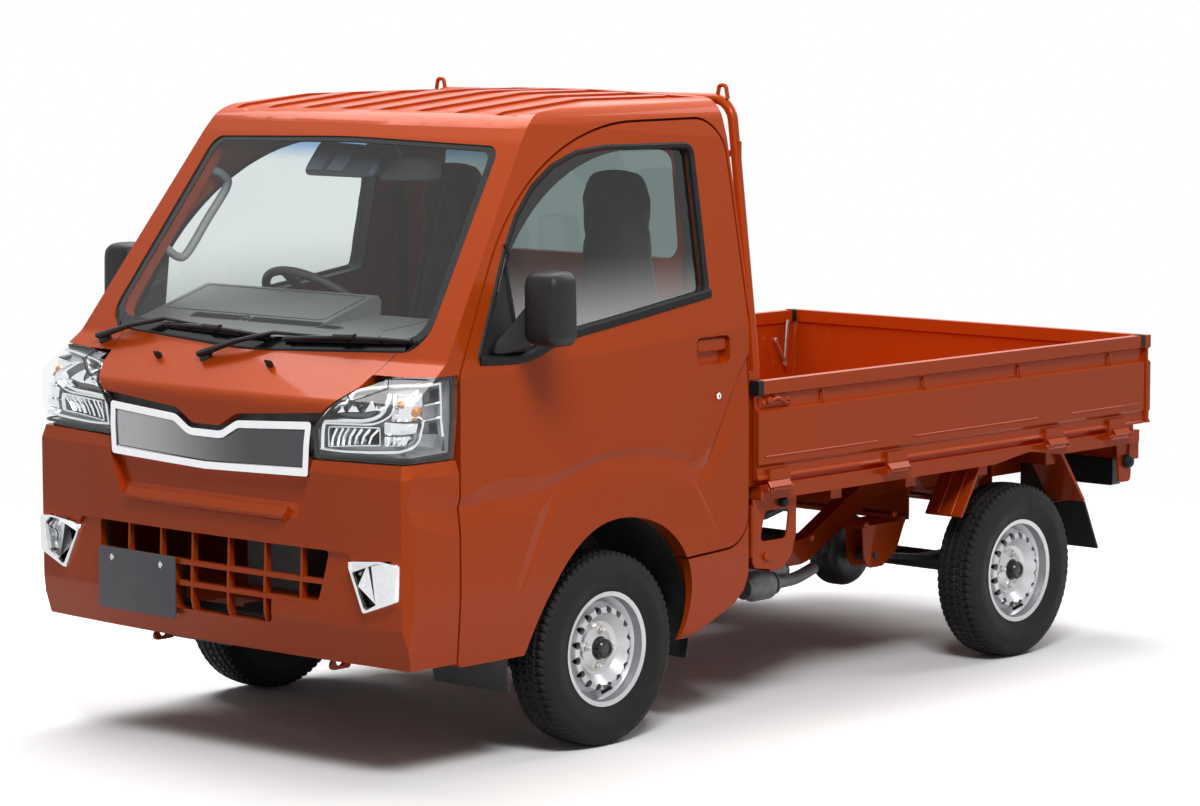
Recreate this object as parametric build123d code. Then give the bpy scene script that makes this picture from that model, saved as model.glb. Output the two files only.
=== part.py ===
"""A cab-over kei truck: a two-seat cab with hinged doors and a flatbed with three drop sides.

Frame: millimetres, +Z up, the floor at Z = 0, the nose towards -Y, the vehicle's left towards +X.
The origin is the bottom centre of the vehicle's box.
"""

from build123d import *
import math
import os

os.makedirs("parts", exist_ok=True)

# ---- driving dimensions, in millimetres ---------------------------------------------------------
# Overall
body_width = 1475
roof_height = 1778
hook_height = 1800
wheelbase = 1900
front_overhang = 825
rear_overhang = 670
cab_length = 1407

# Wheels
track = 1304
tyre_diameter = 540
tyre_width = 145
bead_diameter = 304
flange_diameter = 336
rim_width = 116
vent_count = 16
vent_diameter = 21
vent_circle = 215
hub_bore = 56
kingpin_offset = 32

# Cab skins and gaps
door_thickness = 45
seam = 7
base_height = 256
sill_height = 298
bow_radius = 9000
nose_corner_radius = 105
side_lean = 101
crease_front_z = 1046
crease_rear_z = 1122
floor_sheet = 25
seat_base_height = 715
tub_radius = 376
tub_centre_height = 285
tub_inner_x = 404
tub_sheet = 12

# Glass
glass_thickness = 5
glass_depth = 5
glass_land = 18

# Bed
bed_floor_height = 675
bed_floor_sheet = 18
gate_height = 285
gate_thickness = 30
gate_clearance = 6
hinge_height = 650
hinge_pin_diameter = 12
headboard_thickness = 26
headboard_height = 985

# Frame and running gear
rail_x = 355
rail_width = 50
rail_depth = 75
rail_height = 330
rail_kick = 175
cross_tube_diameter = 46
axle_tube_diameter = 62
spring_leaf_width = 50
spring_x = 486

# ---- datum places worked out from them ----------------------------------------------------------
overall_length = front_overhang + wheelbase + rear_overhang
nose_y = -overall_length / 2
tail_y = overall_length / 2
front_axle_y = nose_y + front_overhang
rear_axle_y = front_axle_y + wheelbase
cab_rear_y = nose_y + cab_length
half_width = body_width / 2
wheel_x = track / 2
wheel_z = tyre_diameter / 2
arch_y = front_axle_y - 15
door_front_y = nose_y + 231
door_rear_y = cab_rear_y - 15
bed_front_y = cab_rear_y + 28
tail_outer = tail_y - 7
gate_rear_y = tail_outer - gate_thickness - gate_clearance
gate_top = bed_floor_height + gate_height
footwell_height = rail_height + rail_depth + floor_sheet


# ---- helpers ------------------------------------------------------------------------------------
def outline(points, radii=0):
    """A closed face with each corner rounded to its radius."""
    return make_face(FilletPolyline(*points, radius=radii, close=True))


def along_x(face, low, high):
    """A face drawn in (y, z) made solid between two x values."""
    return extrude(Plane.YZ.offset(low) * face, high - low)


def along_y(face, low, high):
    """A face drawn in (x, z) made solid between two y values."""
    return extrude(Plane.XZ.offset(-high) * face, high - low)


def along_z(face, low, high):
    """A face drawn in (x, y) made solid between two z values."""
    return extrude(Plane.XY.offset(low) * face, high - low)


def box(x0, x1, y0, y1, z0, z1):
    """A block between corners."""
    return Pos((x0 + x1) / 2, (y0 + y1) / 2, (z0 + z1) / 2) * Box(x1 - x0, y1 - y0, z1 - z0)


def rod(start, end, radius):
    """A round bar from one point to another."""
    direction = Vector(*end) - Vector(*start)
    return extrude(Plane(start, z_dir=direction) * Circle(radius), direction.length)


def mirrored(shape):
    """The same shape on the vehicle's other side."""
    return mirror(shape, about=Plane.YZ)


def both_sides(shape):
    """The shape and its mirror image as one group."""
    return Part() + [shape, mirrored(shape)]


def one_part(shape):
    """A boolean's result with any stray zero-volume pieces left out."""
    return Part() + [s for s in shape.solids() if s.volume > 1]


def save(name, shape):
    """Write one sub-part."""
    pieces = [Part(s.wrapped) for s in shape.solids()]
    export_step(Compound(children=pieces, label=name), f"parts/{name}.step")


# ---- the cab's outer form -----------------------------------------------------------------------
cowl = (nose_y + 158, 1104)
screen_top = (nose_y + 550, roof_height - 116)
bonnet_edge = (nose_y + 10, 992)


def side_profile(inset):
    """The cab's outline from the side, at its centreline, moved in by a skin's thickness."""
    points = [
        (nose_y + 42, base_height),
        (nose_y, 420),
        (nose_y, 880),
        bonnet_edge,
        cowl,
        screen_top,
        (nose_y + 610, roof_height - 43),
        (nose_y + 1070, roof_height),
        (cab_rear_y + 300, roof_height - 2),
        (cab_rear_y + 300, base_height),
    ]
    face = outline(points, [20, 60, 200, 45, 60, 200, 120, 900, 0, 0])
    return offset(face, -inset) if inset else face


def cross_section(inset):
    """The cab's outline from the front, with its sides leaning in above the belt."""
    side = [
        (half_width - 18, base_height),
        (half_width, 480),
        (half_width, 1200),
        (half_width - side_lean + 8, roof_height - 138),
        (half_width - side_lean - 29, roof_height - 16),
    ]
    points = side + [(0, roof_height + 4)] + [(-x, z) for x, z in reversed(side)]
    radii = [20, 300, 200, 500, 85]
    face = outline(points, radii + [4000] + radii[::-1])
    return offset(face, -inset) if inset else face


def lean_cut(inset):
    """What the leaning upper side leaves off above the belt crease, which rises to the rear."""
    rise = (crease_rear_z - crease_front_z) / cab_length
    reach = 50
    start = Vector(half_width, nose_y - reach, crease_front_z - rise * reach)
    end = Vector(half_width, cab_rear_y + reach, crease_rear_z + rise * reach)
    height = 700
    lean = side_lean * height / (roof_height - 138 - (crease_front_z + crease_rear_z) / 2)
    points = [(-inset, 0), (-inset - lean, -height), (60, -height), (60, 0)]
    plane = Plane(start, x_dir=(1, 0, 0), z_dir=end - start)
    wedge = extrude(plane * make_face(Polyline(*points, close=True)), (end - start).length)
    return wedge + mirror(wedge, about=Plane.YZ)


def plan_outline(inset):
    """The cab's outline from above, with its rounded nose corners."""
    points = [
        (-half_width - 10, nose_y - 20),
        (half_width + 10, nose_y - 20),
        (half_width + 10, cab_rear_y),
        (-half_width - 10, cab_rear_y),
    ]
    corner = nose_corner_radius + 25
    face = outline(points, [corner, corner, 40, 40])
    return offset(face, -inset) if inset else face


bow_axis = Axis((0, nose_y + bow_radius, 0), (0, 0, 1))
bow_half_angle = math.degrees(math.asin((half_width + 25) / (bow_radius - cab_length - 300)))


def bowed(face):
    """A face drawn in (y, z) swept round the nose's bow in plan."""
    return revolve((Plane.YZ * face).rotate(bow_axis, -bow_half_angle), bow_axis, 2 * bow_half_angle)


def cab_form(inset=0):
    """The whole cab as a closed form, moved in by a skin's thickness, its nose bowed in plan."""
    nose = bowed(side_profile(inset))
    across = along_y(cross_section(inset), nose_y - 10, cab_rear_y - inset)
    down = along_z(plan_outline(inset), 0, roof_height + 10)
    return (nose & across & down) - lean_cut(inset)


# ---- pressed lines in the cab's sides -----------------------------------------------------------
groove_depth = 9
# A valley runs along the side and rises over the wheel arch: (y from the arch, top, deepest line, low edge).
valley_places = [
    (-830, 771, 716, 655),
    (-640, 772, 722, 660),
    (-480, 775, 729, 668),
    (-262, 777, 738, 680),
    (-190, 782, 754, 694),
    (-70, 808, 787, 725),
    (43, 818, 797, 735),
    (160, 813, 790, 731),
    (268, 799, 774, 716),
    (328, 782, 752, 698),
    (408, 782, 744, 690),
    (620, 790, 744, 687),
]
leg_width = 58
leg_depth = 7


def valley_section(y, top, line, low):
    """The valley's V at one place along the cab."""
    points = [
        (half_width + 20, top),
        (half_width, top),
        (half_width - groove_depth, line),
        (half_width, low),
        (half_width + 20, low),
    ]
    return Plane.XZ.offset(-y) * make_face(Polyline(*points, close=True))


def flare_leg(top, foot, outward):
    """Where the flare's pressing runs down beside the wheel arch and fades out."""
    direction = Vector(0, foot[0] - top[0], foot[1] - top[1])
    faces = []
    for (y, z), width, depth in ((top, leg_width, leg_depth), (foot, leg_width * 0.4, 0.8)):
        plane = Plane((half_width, y, z), x_dir=(1, 0, 0), z_dir=direction)
        steep, gentle = -outward * width * 0.25, outward * width * 0.75
        points = [(20, steep), (0, steep), (-depth, 0), (0, gentle), (20, gentle)]
        faces.append(plane * make_face(Polyline(*points, close=True)))
    return loft(faces, ruled=True)


valley = loft([valley_section(arch_y + y, *heights) for y, *heights in valley_places])
front_leg = flare_leg((arch_y - 210, 735), (arch_y - 382, 428), 1)
rear_leg = flare_leg((arch_y + 325, 760), (arch_y + 450, 558), -1)
side_grooves = both_sides(Part() + [valley, front_leg, rear_leg])

cab_outer = cab_form()
cab_inner = cab_form(door_thickness)
glass_outer = cab_form(glass_depth)
glass_inner = cab_form(glass_depth + glass_thickness)


# ---- zones that divide the skin into panels -----------------------------------------------------
def door_outline(grow=0):
    """The door's edge from the side."""
    points = [
        (door_front_y, sill_height),
        (door_front_y, 1065),
        (nose_y + 608, roof_height - 78),
        (door_rear_y, roof_height - 74),
        (door_rear_y, 505),
        (arch_y, 478),
        (arch_y, sill_height),
    ]
    face = outline(points, [15, 60, 750, 105, 95, 0, 0])
    return offset(face, grow) if grow else face


def window_outline(grow=0):
    """The door's window opening from the side."""
    points = [
        (nose_y + 312, 1103),
        (nose_y + 488, 1103),
        (nose_y + 640, 1145),
        (cab_rear_y - 175, 1224),
        (cab_rear_y - 160, roof_height - 148),
        (nose_y + 602, roof_height - 148),
    ]
    face = outline(points, [12, 120, 400, 35, 30, 695])
    return offset(face, grow) if grow else face


def screen_outline(grow=0):
    """The windscreen's edge from the front."""
    points = [
        (-637, 1124),
        (0, 1096),
        (637, 1124),
        (566, roof_height - 128),
        (0, roof_height - 114),
        (-566, roof_height - 128),
    ]
    face = outline(points, [70, 2500, 70, 45, 4000, 45])
    return offset(face, grow) if grow else face


def bonnet_outline():
    """The nose panel between the lamps, from the front."""
    half = [
        (0, 907),
        (52, 907),
        (118, 944),
        (434, 968),
        (466, 994),
        (512, 1036),
        (548, 1140),
    ]
    points = half + [(-x, z) for x, z in reversed(half[1:])]
    radii = [0, 40, 40, 8, 8, 8, 0]
    return outline(points, radii + radii[:0:-1])


def grille_outline(grow=0):
    """The bright bar between the lamps, dipped under the nose badge's place."""
    half = [
        (0, 893),
        (62, 893),
        (122, 926),
        (402, 942),
        (392, 797),
        (0, 786),
    ]
    points = half + [(-x, z) for x, z in reversed(half[1:-1])]
    radii = [0, 60, 60, 10, 10, 0]
    face = outline(points, radii + radii[-2:0:-1])
    return offset(face, grow) if grow else face


def headlamp_outline():
    """A headlamp from the front; the side wrap is cut by the cab's own corner."""
    points = [
        (405, 846),
        (408, 925),
        (436, 958),
        (468, 988),
        (514, 1030),
        (600, 1064),
        (half_width + 20, 1073),
        (half_width + 20, 854),
    ]
    return outline(points, [15, 30, 10, 10, 40, 60, 0, 0])


def bumper_outline():
    """The bumper's upper edge follows the bar and the lamps."""
    half = [
        (0, 310),
        (half_width + 20, 310),
        (half_width + 20, 849),
        (402, 841),
        (396, 792),
        (0, 781),
    ]
    points = half + [(-x, z) for x, z in reversed(half[1:-1])]
    return outline(points)


nose_depth = (nose_y - 30, door_front_y - seam)

# The bumper stands proud of the lamps, with a sloping shelf along its upper edge.
shelf_low = 812
shelf_high = 849
shelf_depth = 12
lens_taper_top = 960


def tapered_core(top, bottom, inset):
    """The cab's plan at the bumper's height, drawn in by an inset at one of two levels."""
    plan = Sketch() + section(cab_outer, Plane.XY.offset(shelf_low)).faces()
    taper = math.degrees(math.atan(inset / abs(top - bottom)))
    return extrude(Pos(0, 0, bottom - shelf_low) * plan, top - bottom, taper=taper)


nose_region = (-half_width - 20, half_width + 20, nose_y - 20, arch_y)
shelf_rise = 15
shelf_slope = shelf_depth / (shelf_high - shelf_low)
shelf_top = shelf_high + shelf_rise
shelf_core = tapered_core(shelf_top, shelf_low, shelf_slope * (shelf_top - shelf_low))
shelf_cut = box(*nose_region, shelf_low, shelf_top) - shelf_core
lens_low = shelf_high - 8
lens_core = tapered_core(lens_low, lens_taper_top, shelf_depth)
lens_cut = box(*nose_region, lens_low, lens_taper_top) - lens_core

# The bumper's middle: a recess under the bar that ends on a sloping ledge, and a set-back lower part.
ledge_top = 715
ledge_low = 684
recess_depth = 22
lower_depth = 9
lower_top = 610
recess_face = outline(
    [
        (nose_y - 20, 800),
        (nose_y + recess_depth, 800),
        (nose_y + recess_depth, ledge_top + 6),
        (nose_y, ledge_low),
        (nose_y - 20, ledge_low),
    ]
)
recess_limit = along_y(outline([(-401, 800), (401, 800), (338, 660), (-338, 660)]), *nose_depth)
lower_face = outline(
    [
        (nose_y - 20, lower_top),
        (nose_y + lower_depth, lower_top - 3),
        (nose_y + lower_depth - 2, lower_top - 60),
        (nose_y, 450),
        (nose_y - 20, 450),
    ]
)
lower_points = [(-536, lower_top + 10), (536, lower_top + 10), (610, 430), (-610, 430)]
lower_limit = along_y(outline(lower_points, [60, 60, 30, 30]), *nose_depth)
chin_top = 352
chin_depth = 6
chin_face = outline(
    [
        (nose_y - 20, chin_top),
        (nose_y, chin_top),
        (nose_y + chin_depth, chin_top - 12),
        (nose_y + chin_depth, 200),
        (nose_y - 20, 200),
    ]
)
chin_points = [(-560, chin_top + 8), (560, chin_top + 8), (610, 200), (-610, 200)]
chin_limit = along_y(outline(chin_points), *nose_depth)
nose_pressings = (bowed(recess_face) & recess_limit) + (bowed(lower_face) & lower_limit)
nose_pressings = nose_pressings + (bowed(chin_face) & chin_limit)


def side_core(inset):
    """What lies inside the cab's side walls, run out past its nose, back and underside."""
    inner = half_width - inset - 12
    below = box(-inner, inner, nose_y - 30, cab_rear_y + 30, 0, 420)
    core = along_y(cross_section(inset), nose_y - 30, cab_rear_y + 30) - lean_cut(inset)
    return core + below


doors_zone = along_x(door_outline(seam), -half_width - 20, half_width + 20) - side_core(door_thickness + seam)
arch_line = Spline(
    (arch_y - 372, 200),
    (arch_y - 300, 350),
    (arch_y - 190, 515),
    (arch_y - 39, 619),
    (arch_y + 107, 627),
    (arch_y + 251, 570),
    (arch_y + 338, 450),
    (arch_y + 344, 355),
    (arch_y + 300, 255),
)
arch_face = make_face(arch_line + Line(arch_line @ 1, arch_line @ 0))
arch_cut = along_x(arch_face, -half_width - 20, half_width + 20)
door_band = cab_outer & along_x(door_outline(), -half_width - 20, half_width + 20)
door_band = door_band - side_core(door_thickness) - arch_cut
door_glass_band = (cab_form(18) - cab_form(18 + glass_thickness)) & along_x(
    window_outline(12), -half_width, half_width
)
door_sides = box(300, half_width + 20, nose_y, cab_rear_y, 0, roof_height)
window_cut = along_x(window_outline(), -half_width - 20, half_width + 20)

door_glass_left = door_glass_band & door_sides
door_panel_left = one_part((door_band & door_sides) - window_cut - door_glass_left - side_grooves)

# ---- front panels -------------------------------------------------------------------------------
screen_hole = along_y(screen_outline(-glass_land), nose_y - 20, nose_y + 900)
screen_seat = along_y(screen_outline(), nose_y - 20, nose_y + 900)
windscreen = (glass_outer - glass_inner) & screen_seat
screen_rebate = (cab_outer - glass_inner) & screen_seat

bonnet_zone = along_y(bonnet_outline(), *nose_depth)
grille_zone = along_y(grille_outline(), *nose_depth)
lamp_zone = along_y(headlamp_outline(), *nose_depth)
bumper_zone = along_y(bumper_outline(), *nose_depth)

front_skin = cab_outer - cab_form(30)
carrier_skin = cab_form(30) - cab_inner

front_panel = one_part((front_skin & bonnet_zone) - screen_seat)
lamp_back = along_z(
    outline(
        [
            (380, nose_y - 30),
            (half_width + 20, nose_y - 30),
            (half_width + 20, door_front_y - seam),
            (half_width - 40, door_front_y - seam - 20),
            (400, nose_y + 82),
            (380, nose_y + 82),
        ]
    ),
    800,
    1100,
)
headlamp_left = one_part((cab_outer & lamp_zone & lamp_back) - lens_cut)

# The bright bar stands at the skin, and its dark inner panel is set back.
panel_recess = along_y(grille_outline(-20), *nose_depth) & (cab_outer - cab_form(9))
front_grille = one_part((front_skin & grille_zone) - panel_recess)

# The bumper: a lattice of bars in its lower opening, lamp pockets and a stepped middle ledge.
opening_low_left = -134
opening_half = 459
opening_top = 606
opening_mid = 461
opening_bottom = 393
bar_width = 13
bar_depth = 22


def opening_outline():
    """The lower air opening, stepped round the number plate's place."""
    points = [
        (-opening_half, opening_top),
        (opening_half, opening_top),
        (424, opening_mid),
        (253, opening_mid),
        (250, opening_bottom),
        (opening_low_left, opening_bottom),
        (opening_low_left, 522),
        (-opening_half, 527),
    ]
    return outline(points, [8, 10, 30, 8, 20, 8, 0, 8])


def lattice():
    """The opening's bars, upright and level, as one grid."""
    bars = []
    for x in (-332, -195, -64, 81, 223, 359):
        bars.append(Pos(x, 0) * Rectangle(bar_width * 0.6, 260))
    for z in (522, 464):
        bars.append(Pos(0, z - 500) * Rectangle(940, bar_width))
    grid = Sketch() + bars
    return Pos(0, 500) * grid


fog_outline = outline([(540, 588), (690, 600), (690, 508), (606, 462)], [10, 12, 12, 12])
opening_cut = along_y(opening_outline(), *nose_depth)
lattice_bars = along_y(lattice(), *nose_depth) & opening_cut & (cab_form(3) - cab_form(3 + bar_depth))
fog_zone = along_y(fog_outline, *nose_depth)
fog_pockets = both_sides(fog_zone)
plate_bolt_z = 506
plate_bolt_spacing = 210
plate_x = -287
plate_bolt_radius = 3.5
plate_holes = [
    Pos(plate_x + offset_x, nose_y, plate_bolt_z) * Rot(90, 0, 0) * Cylinder(plate_bolt_radius, 120)
    for offset_x in (-plate_bolt_spacing / 2, plate_bolt_spacing / 2)
]
front_bumper = (front_skin & bumper_zone) - opening_cut - fog_pockets - plate_holes
front_bumper = one_part((front_bumper + lattice_bars) - nose_pressings - side_grooves - shelf_cut)
fog_lamp_left = one_part((front_skin & fog_zone) - (cab_outer - cab_form(4)) - nose_pressings)

# What carries the nose panels: a second skin close behind them, open behind the lattice.
carrier_zone = box(-half_width, half_width, nose_y - 10, door_front_y - seam, 330, 1050)
front_carrier = (carrier_skin & carrier_zone) - along_y(opening_outline(), *nose_depth) - screen_seat
front_carrier = one_part(front_carrier - both_sides(lamp_zone & lamp_back) - plate_holes)

# ---- the cab shell ------------------------------------------------------------------------------
nose_block = box(-half_width - 20, half_width + 20, nose_y - 30, door_front_y - seam, 0, 1066)
nose_foot = box(-half_width - 20, half_width + 20, nose_y - 30, door_front_y + 5, 0, sill_height + 20)
floor_line = [
    (nose_y - 100, footwell_height),
    (nose_y + 425, footwell_height),
    (nose_y + 500, 600),
    (nose_y + 700, seat_base_height),
    (cab_rear_y + 100, seat_base_height),
]
above_floor = along_x(
    outline(floor_line + [(cab_rear_y + 100, 2000), (nose_y - 100, 2000)]), -half_width, half_width
)
under_line = [(y, z - floor_sheet) for y, z in floor_line]
below_floor = along_x(
    outline(under_line + [(cab_rear_y + 100, 0), (nose_y - 100, 0)]), -640, 640
)
tub_block = along_x(
    outline(
        [
            (arch_y - tub_radius - tub_sheet, 0),
            (arch_y - tub_radius - tub_sheet, footwell_height),
            (nose_y + 520, 640),
            (nose_y + 700, seat_base_height),
            (arch_y + tub_radius + tub_sheet, seat_base_height),
            (arch_y + tub_radius + tub_sheet, 0),
        ]
    ),
    tub_inner_x - tub_sheet,
    640,
)
tub_void = Pos(0, arch_y + 10, tub_centre_height) * Rot(0, 90, 0) * Cylinder(tub_radius, body_width + 100)
tub_void = tub_void & box(tub_inner_x, half_width - 30, nose_y, cab_rear_y, 0, roof_height)


def rear_window_outline(grow=0):
    """The back window's edge."""
    points = [
        (-500 - grow, 1300 - grow),
        (500 + grow, 1300 - grow),
        (470 + grow, roof_height - 168 + grow),
        (-470 - grow, roof_height - 168 + grow),
    ]
    return outline(points, 45 + grow)


rear_window_cut = along_y(rear_window_outline(), cab_rear_y - 60, cab_rear_y + 10)
rear_window = along_y(rear_window_outline(12), cab_rear_y - 24, cab_rear_y - 19)

quarter_trim = along_x(
    outline(
        [
            (nose_y - 50, 0),
            (nose_y - 50, sill_height),
            (arch_y, sill_height),
            (arch_y + 20, sill_height - 42),
            (arch_y + 342, sill_height - 42),
            (cab_rear_y - 62, sill_height + 36),
            (cab_rear_y - 22, sill_height + 74),
            (cab_rear_y + 10, sill_height + 170),
            (cab_rear_y + 10, 0),
        ]
    ),
    -half_width - 20,
    half_width + 20,
)
cab_body = cab_outer - (cab_inner & above_floor)
cab_body = cab_body - (below_floor - both_sides(tub_block))
cab_body = cab_body - both_sides(tub_void) - arch_cut
cab_body = cab_body - nose_block - nose_foot - screen_hole - screen_rebate - bonnet_zone
cab_body = cab_body - both_sides(lamp_zone) - doors_zone - quarter_trim - rear_window_cut - rear_window

# The roof's ribbed middle is its own pressing, set into the shell.
roof_front_y = nose_y + 634
roof_half = 560
rib_count = 7
rib_pitch = 150
rib_width = 62
rib_height = 7
roof_skin_depth = 14
roof_zone = box(-roof_half, roof_half, roof_front_y, cab_rear_y - 42, roof_height - 128, roof_height + 20)
roof_panel = (cab_form(rib_height) - cab_form(roof_skin_depth)) & roof_zone
ribs = []
for index in range(rib_count):
    x = (index - (rib_count - 1) / 2) * rib_pitch
    rib_face = outline(
        [
            (x - rib_width / 2, roof_front_y - 8),
            (x + rib_width / 2, roof_front_y - 8),
            (x + rib_width / 2, cab_rear_y - 60),
            (x - rib_width / 2, cab_rear_y - 60),
        ],
        rib_width * 0.45,
    )
    ribs.append(along_z(rib_face, roof_height - 178, roof_height + 20))
roof_panel = one_part(roof_panel + ((cab_outer - cab_form(rib_height + 2)) & (Part() + ribs) & roof_zone))
cab_body = cab_body - ((cab_outer - cab_form(roof_skin_depth)) & roof_zone)
cab_shell = one_part(cab_body - side_grooves)

# ---- inside the cab -----------------------------------------------------------------------------
dash_break_x = 70


def dash_outline(brow):
    """The dashboard from the side; its top rises towards the seats, to a brow."""
    top = [
        (nose_y + 110, 760),
        (nose_y + 110, 955),
        (nose_y + 205, 1035),
        (nose_y + 245, 1118),
        (nose_y + 345, 1146),
        (nose_y + 585, brow),
        (nose_y + 600, brow - 18),
    ]
    below = [(nose_y + 578, 1045), (nose_y + 560, 800), (nose_y + 440, 700), (nose_y + 200, 690)]
    return outline(top + below, [10, 20, 20, 20, 100, 6, 6, 45, 40, 40, 10])


dash_driver = along_x(dash_outline(1222), -632, dash_break_x)
dash_passenger = along_x(dash_outline(1168), dash_break_x, 632)
heater_case = box(-120, 120, nose_y + 260, nose_y + 400, footwell_height, 720)
dashboard = dash_driver + dash_passenger + heater_case

wheel_tilt = 40
steering_x = -340
steering_centre = (steering_x, nose_y + 762, 1150)
steering_radius = 183
rim_grip = 13
steering_place = Pos(*steering_centre) * Rot(-wheel_tilt, 0, 0)
column_top = -38
column_length = 420
column = steering_place * Pos(0, 0, column_top - column_length / 2) * Cylinder(30, column_length)
steering_column = one_part(column + (steering_place * Pos(0, -4, column_top - 110) * Box(96, 92, 180)))
lamp_room = Pos(0, 8, 0) * (lamp_back & box(380, half_width, nose_y, cab_rear_y, 800, 1079))
dashboard = one_part(dashboard - steering_column - both_sides(lamp_room))
hub_boss = steering_place * Pos(0, 0, -8) * Cylinder(58, 40)
spokes = [
    steering_place * Rot(0, 0, angle) * Pos(steering_radius / 2, 0, -6) * Box(steering_radius, 34, 12)
    for angle in (12, 168, 270)
]
grip_ring = steering_place * Torus(steering_radius, rim_grip)
steering_wheel = Part() + [grip_ring, hub_boss] + spokes

seat_x = 325
seat_width = 470
cushion_profile = outline(
    [
        (cab_rear_y - 610, 800),
        (cab_rear_y - 600, 892),
        (cab_rear_y - 192, 868),
        (cab_rear_y - 186, seat_base_height + 1),
        (cab_rear_y - 560, seat_base_height + 1),
    ],
    [30, 40, 20, 10, 25],
)
back_profile = outline(
    [
        (cab_rear_y - 180, seat_base_height + 1),
        (cab_rear_y - 165, 1290),
        (cab_rear_y - 158, 1575),
        (cab_rear_y - 82, 1575),
        (cab_rear_y - 62, 1290),
        (cab_rear_y - 62, seat_base_height + 1),
    ],
    [10, 30, 30, 30, 30, 10],
)
back_front = outline(
    [
        (seat_x - seat_width / 2, seat_base_height),
        (seat_x - seat_width / 2, 1330),
        (seat_x - 125, 1390),
        (seat_x - 115, 1590),
        (seat_x + 115, 1590),
        (seat_x + 125, 1390),
        (seat_x + seat_width / 2, 1330),
        (seat_x + seat_width / 2, seat_base_height),
    ],
    [0, 70, 30, 40, 40, 30, 70, 0],
)
cushion_left = along_x(cushion_profile, seat_x - seat_width / 2, seat_x + seat_width / 2)
back_left = along_x(back_profile, seat_x - 300, seat_x + 300)
back_left = back_left & along_y(back_front, cab_rear_y - 300, cab_rear_y)

mirror_box = along_x(
    outline(
        [
            (nose_y + 575, roof_height - 188),
            (nose_y + 600, roof_height - 148),
            (nose_y + 660, roof_height - 88),
            (nose_y + 690, roof_height - 178),
        ],
        10,
    ),
    -115,
    115,
)
mirror_glass = box(-110, 130, nose_y + 704, nose_y + 722, roof_height - 223, roof_height - 153)
mirror_stalk = box(-40, 40, nose_y + 630, nose_y + 670, roof_height - 118, roof_height - 62)
mirror_link = box(-15, 15, nose_y + 670, nose_y + 710, roof_height - 173, roof_height - 153)
interior_mirror = one_part((mirror_box + mirror_stalk + mirror_glass + mirror_link) - cab_shell - roof_panel)

# ---- doors --------------------------------------------------------------------------------------
mirror_head = along_y(
    outline([(772, 1136), (776, 1338), (905, 1338), (908, 1136)], [25, 35, 30, 25]),
    nose_y + 420,
    nose_y + 500,
)
mirror_arm = rod((half_width - 40, nose_y + 395, 1160), (800, nose_y + 455, 1160), 16)
mirror_foot = along_x(
    outline([(nose_y + 345, 1118), (nose_y + 345, 1200), (nose_y + 455, 1205), (nose_y + 455, 1140)], 10),
    half_width - 32,
    half_width - 6,
)
mirror_whole = mirror_head + mirror_arm + mirror_foot
door_mirror_left = one_part(mirror_whole - door_panel_left - door_glass_left)
handle_front = cab_rear_y - 238
handle_rear = cab_rear_y - 97
handle_low = 1025
handle_top = 1103
pocket_points = [
    (handle_front, handle_low),
    (handle_front, handle_top),
    (handle_rear, handle_top),
    (handle_rear, handle_low),
]
bar_points = [
    (handle_front + 12, handle_top - 40),
    (handle_front + 12, handle_top - 8),
    (handle_rear - 9, handle_top - 8),
    (handle_rear - 9, handle_top - 40),
]
handle_pocket = along_x(outline(pocket_points, 18), half_width - 24, half_width + 20)
handle_bar = along_x(outline(bar_points, 12), half_width - 25, half_width - 9)
door_panel_left = one_part((door_panel_left - handle_pocket) + (handle_bar & cab_outer))

# ---- ladder frame -------------------------------------------------------------------------------
rail_low = [
    (nose_y + 48, rail_height),
    (rear_axle_y - 640, rail_height),
    (rear_axle_y - 300, rail_height + rail_kick),
    (gate_rear_y - 32, rail_height + rail_kick),
]
rail_outline = outline(
    rail_low + [(y, z + rail_depth) for y, z in reversed(rail_low)], [0, 150, 150, 0, 0, 150, 150, 0]
)
rail_left = along_x(rail_outline, rail_x - rail_width / 2, rail_x + rail_width / 2)
cross_places = [
    (nose_y + 110, rail_height + 45),
    (cab_rear_y + 140, rail_height + 84),
    (rear_axle_y - 660, rail_height + 76),
    (rear_axle_y - 240, rail_height + rail_kick + 46),
    (rear_axle_y + 300, rail_height + rail_kick + 46),
    (gate_rear_y - 70, rail_height + rail_kick + 46),
]
rail_gap = rail_x - rail_width / 2
cross_tubes = Part() + [
    rod((-rail_gap, y, z), (rail_gap, y, z), cross_tube_diameter / 2) for y, z in cross_places
]
tow_y = nose_y + 152
tow_z = 286
tow_hole_radius = 16
tow_points = [
    (tow_y - 2, rail_height + 2),
    (tow_y - 42, tow_z - 24),
    (tow_y + 38, tow_z - 24),
    (tow_y + 48, rail_height + 2),
]
tow_plate = along_x(outline(tow_points, 12), rail_x - 5, rail_x + 5)
tow_hole = Pos(rail_x, tow_y, tow_z) * Rot(0, 90, 0) * Cylinder(tow_hole_radius, 60)
rail_left = rail_left + (tow_plate - tow_hole)

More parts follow.
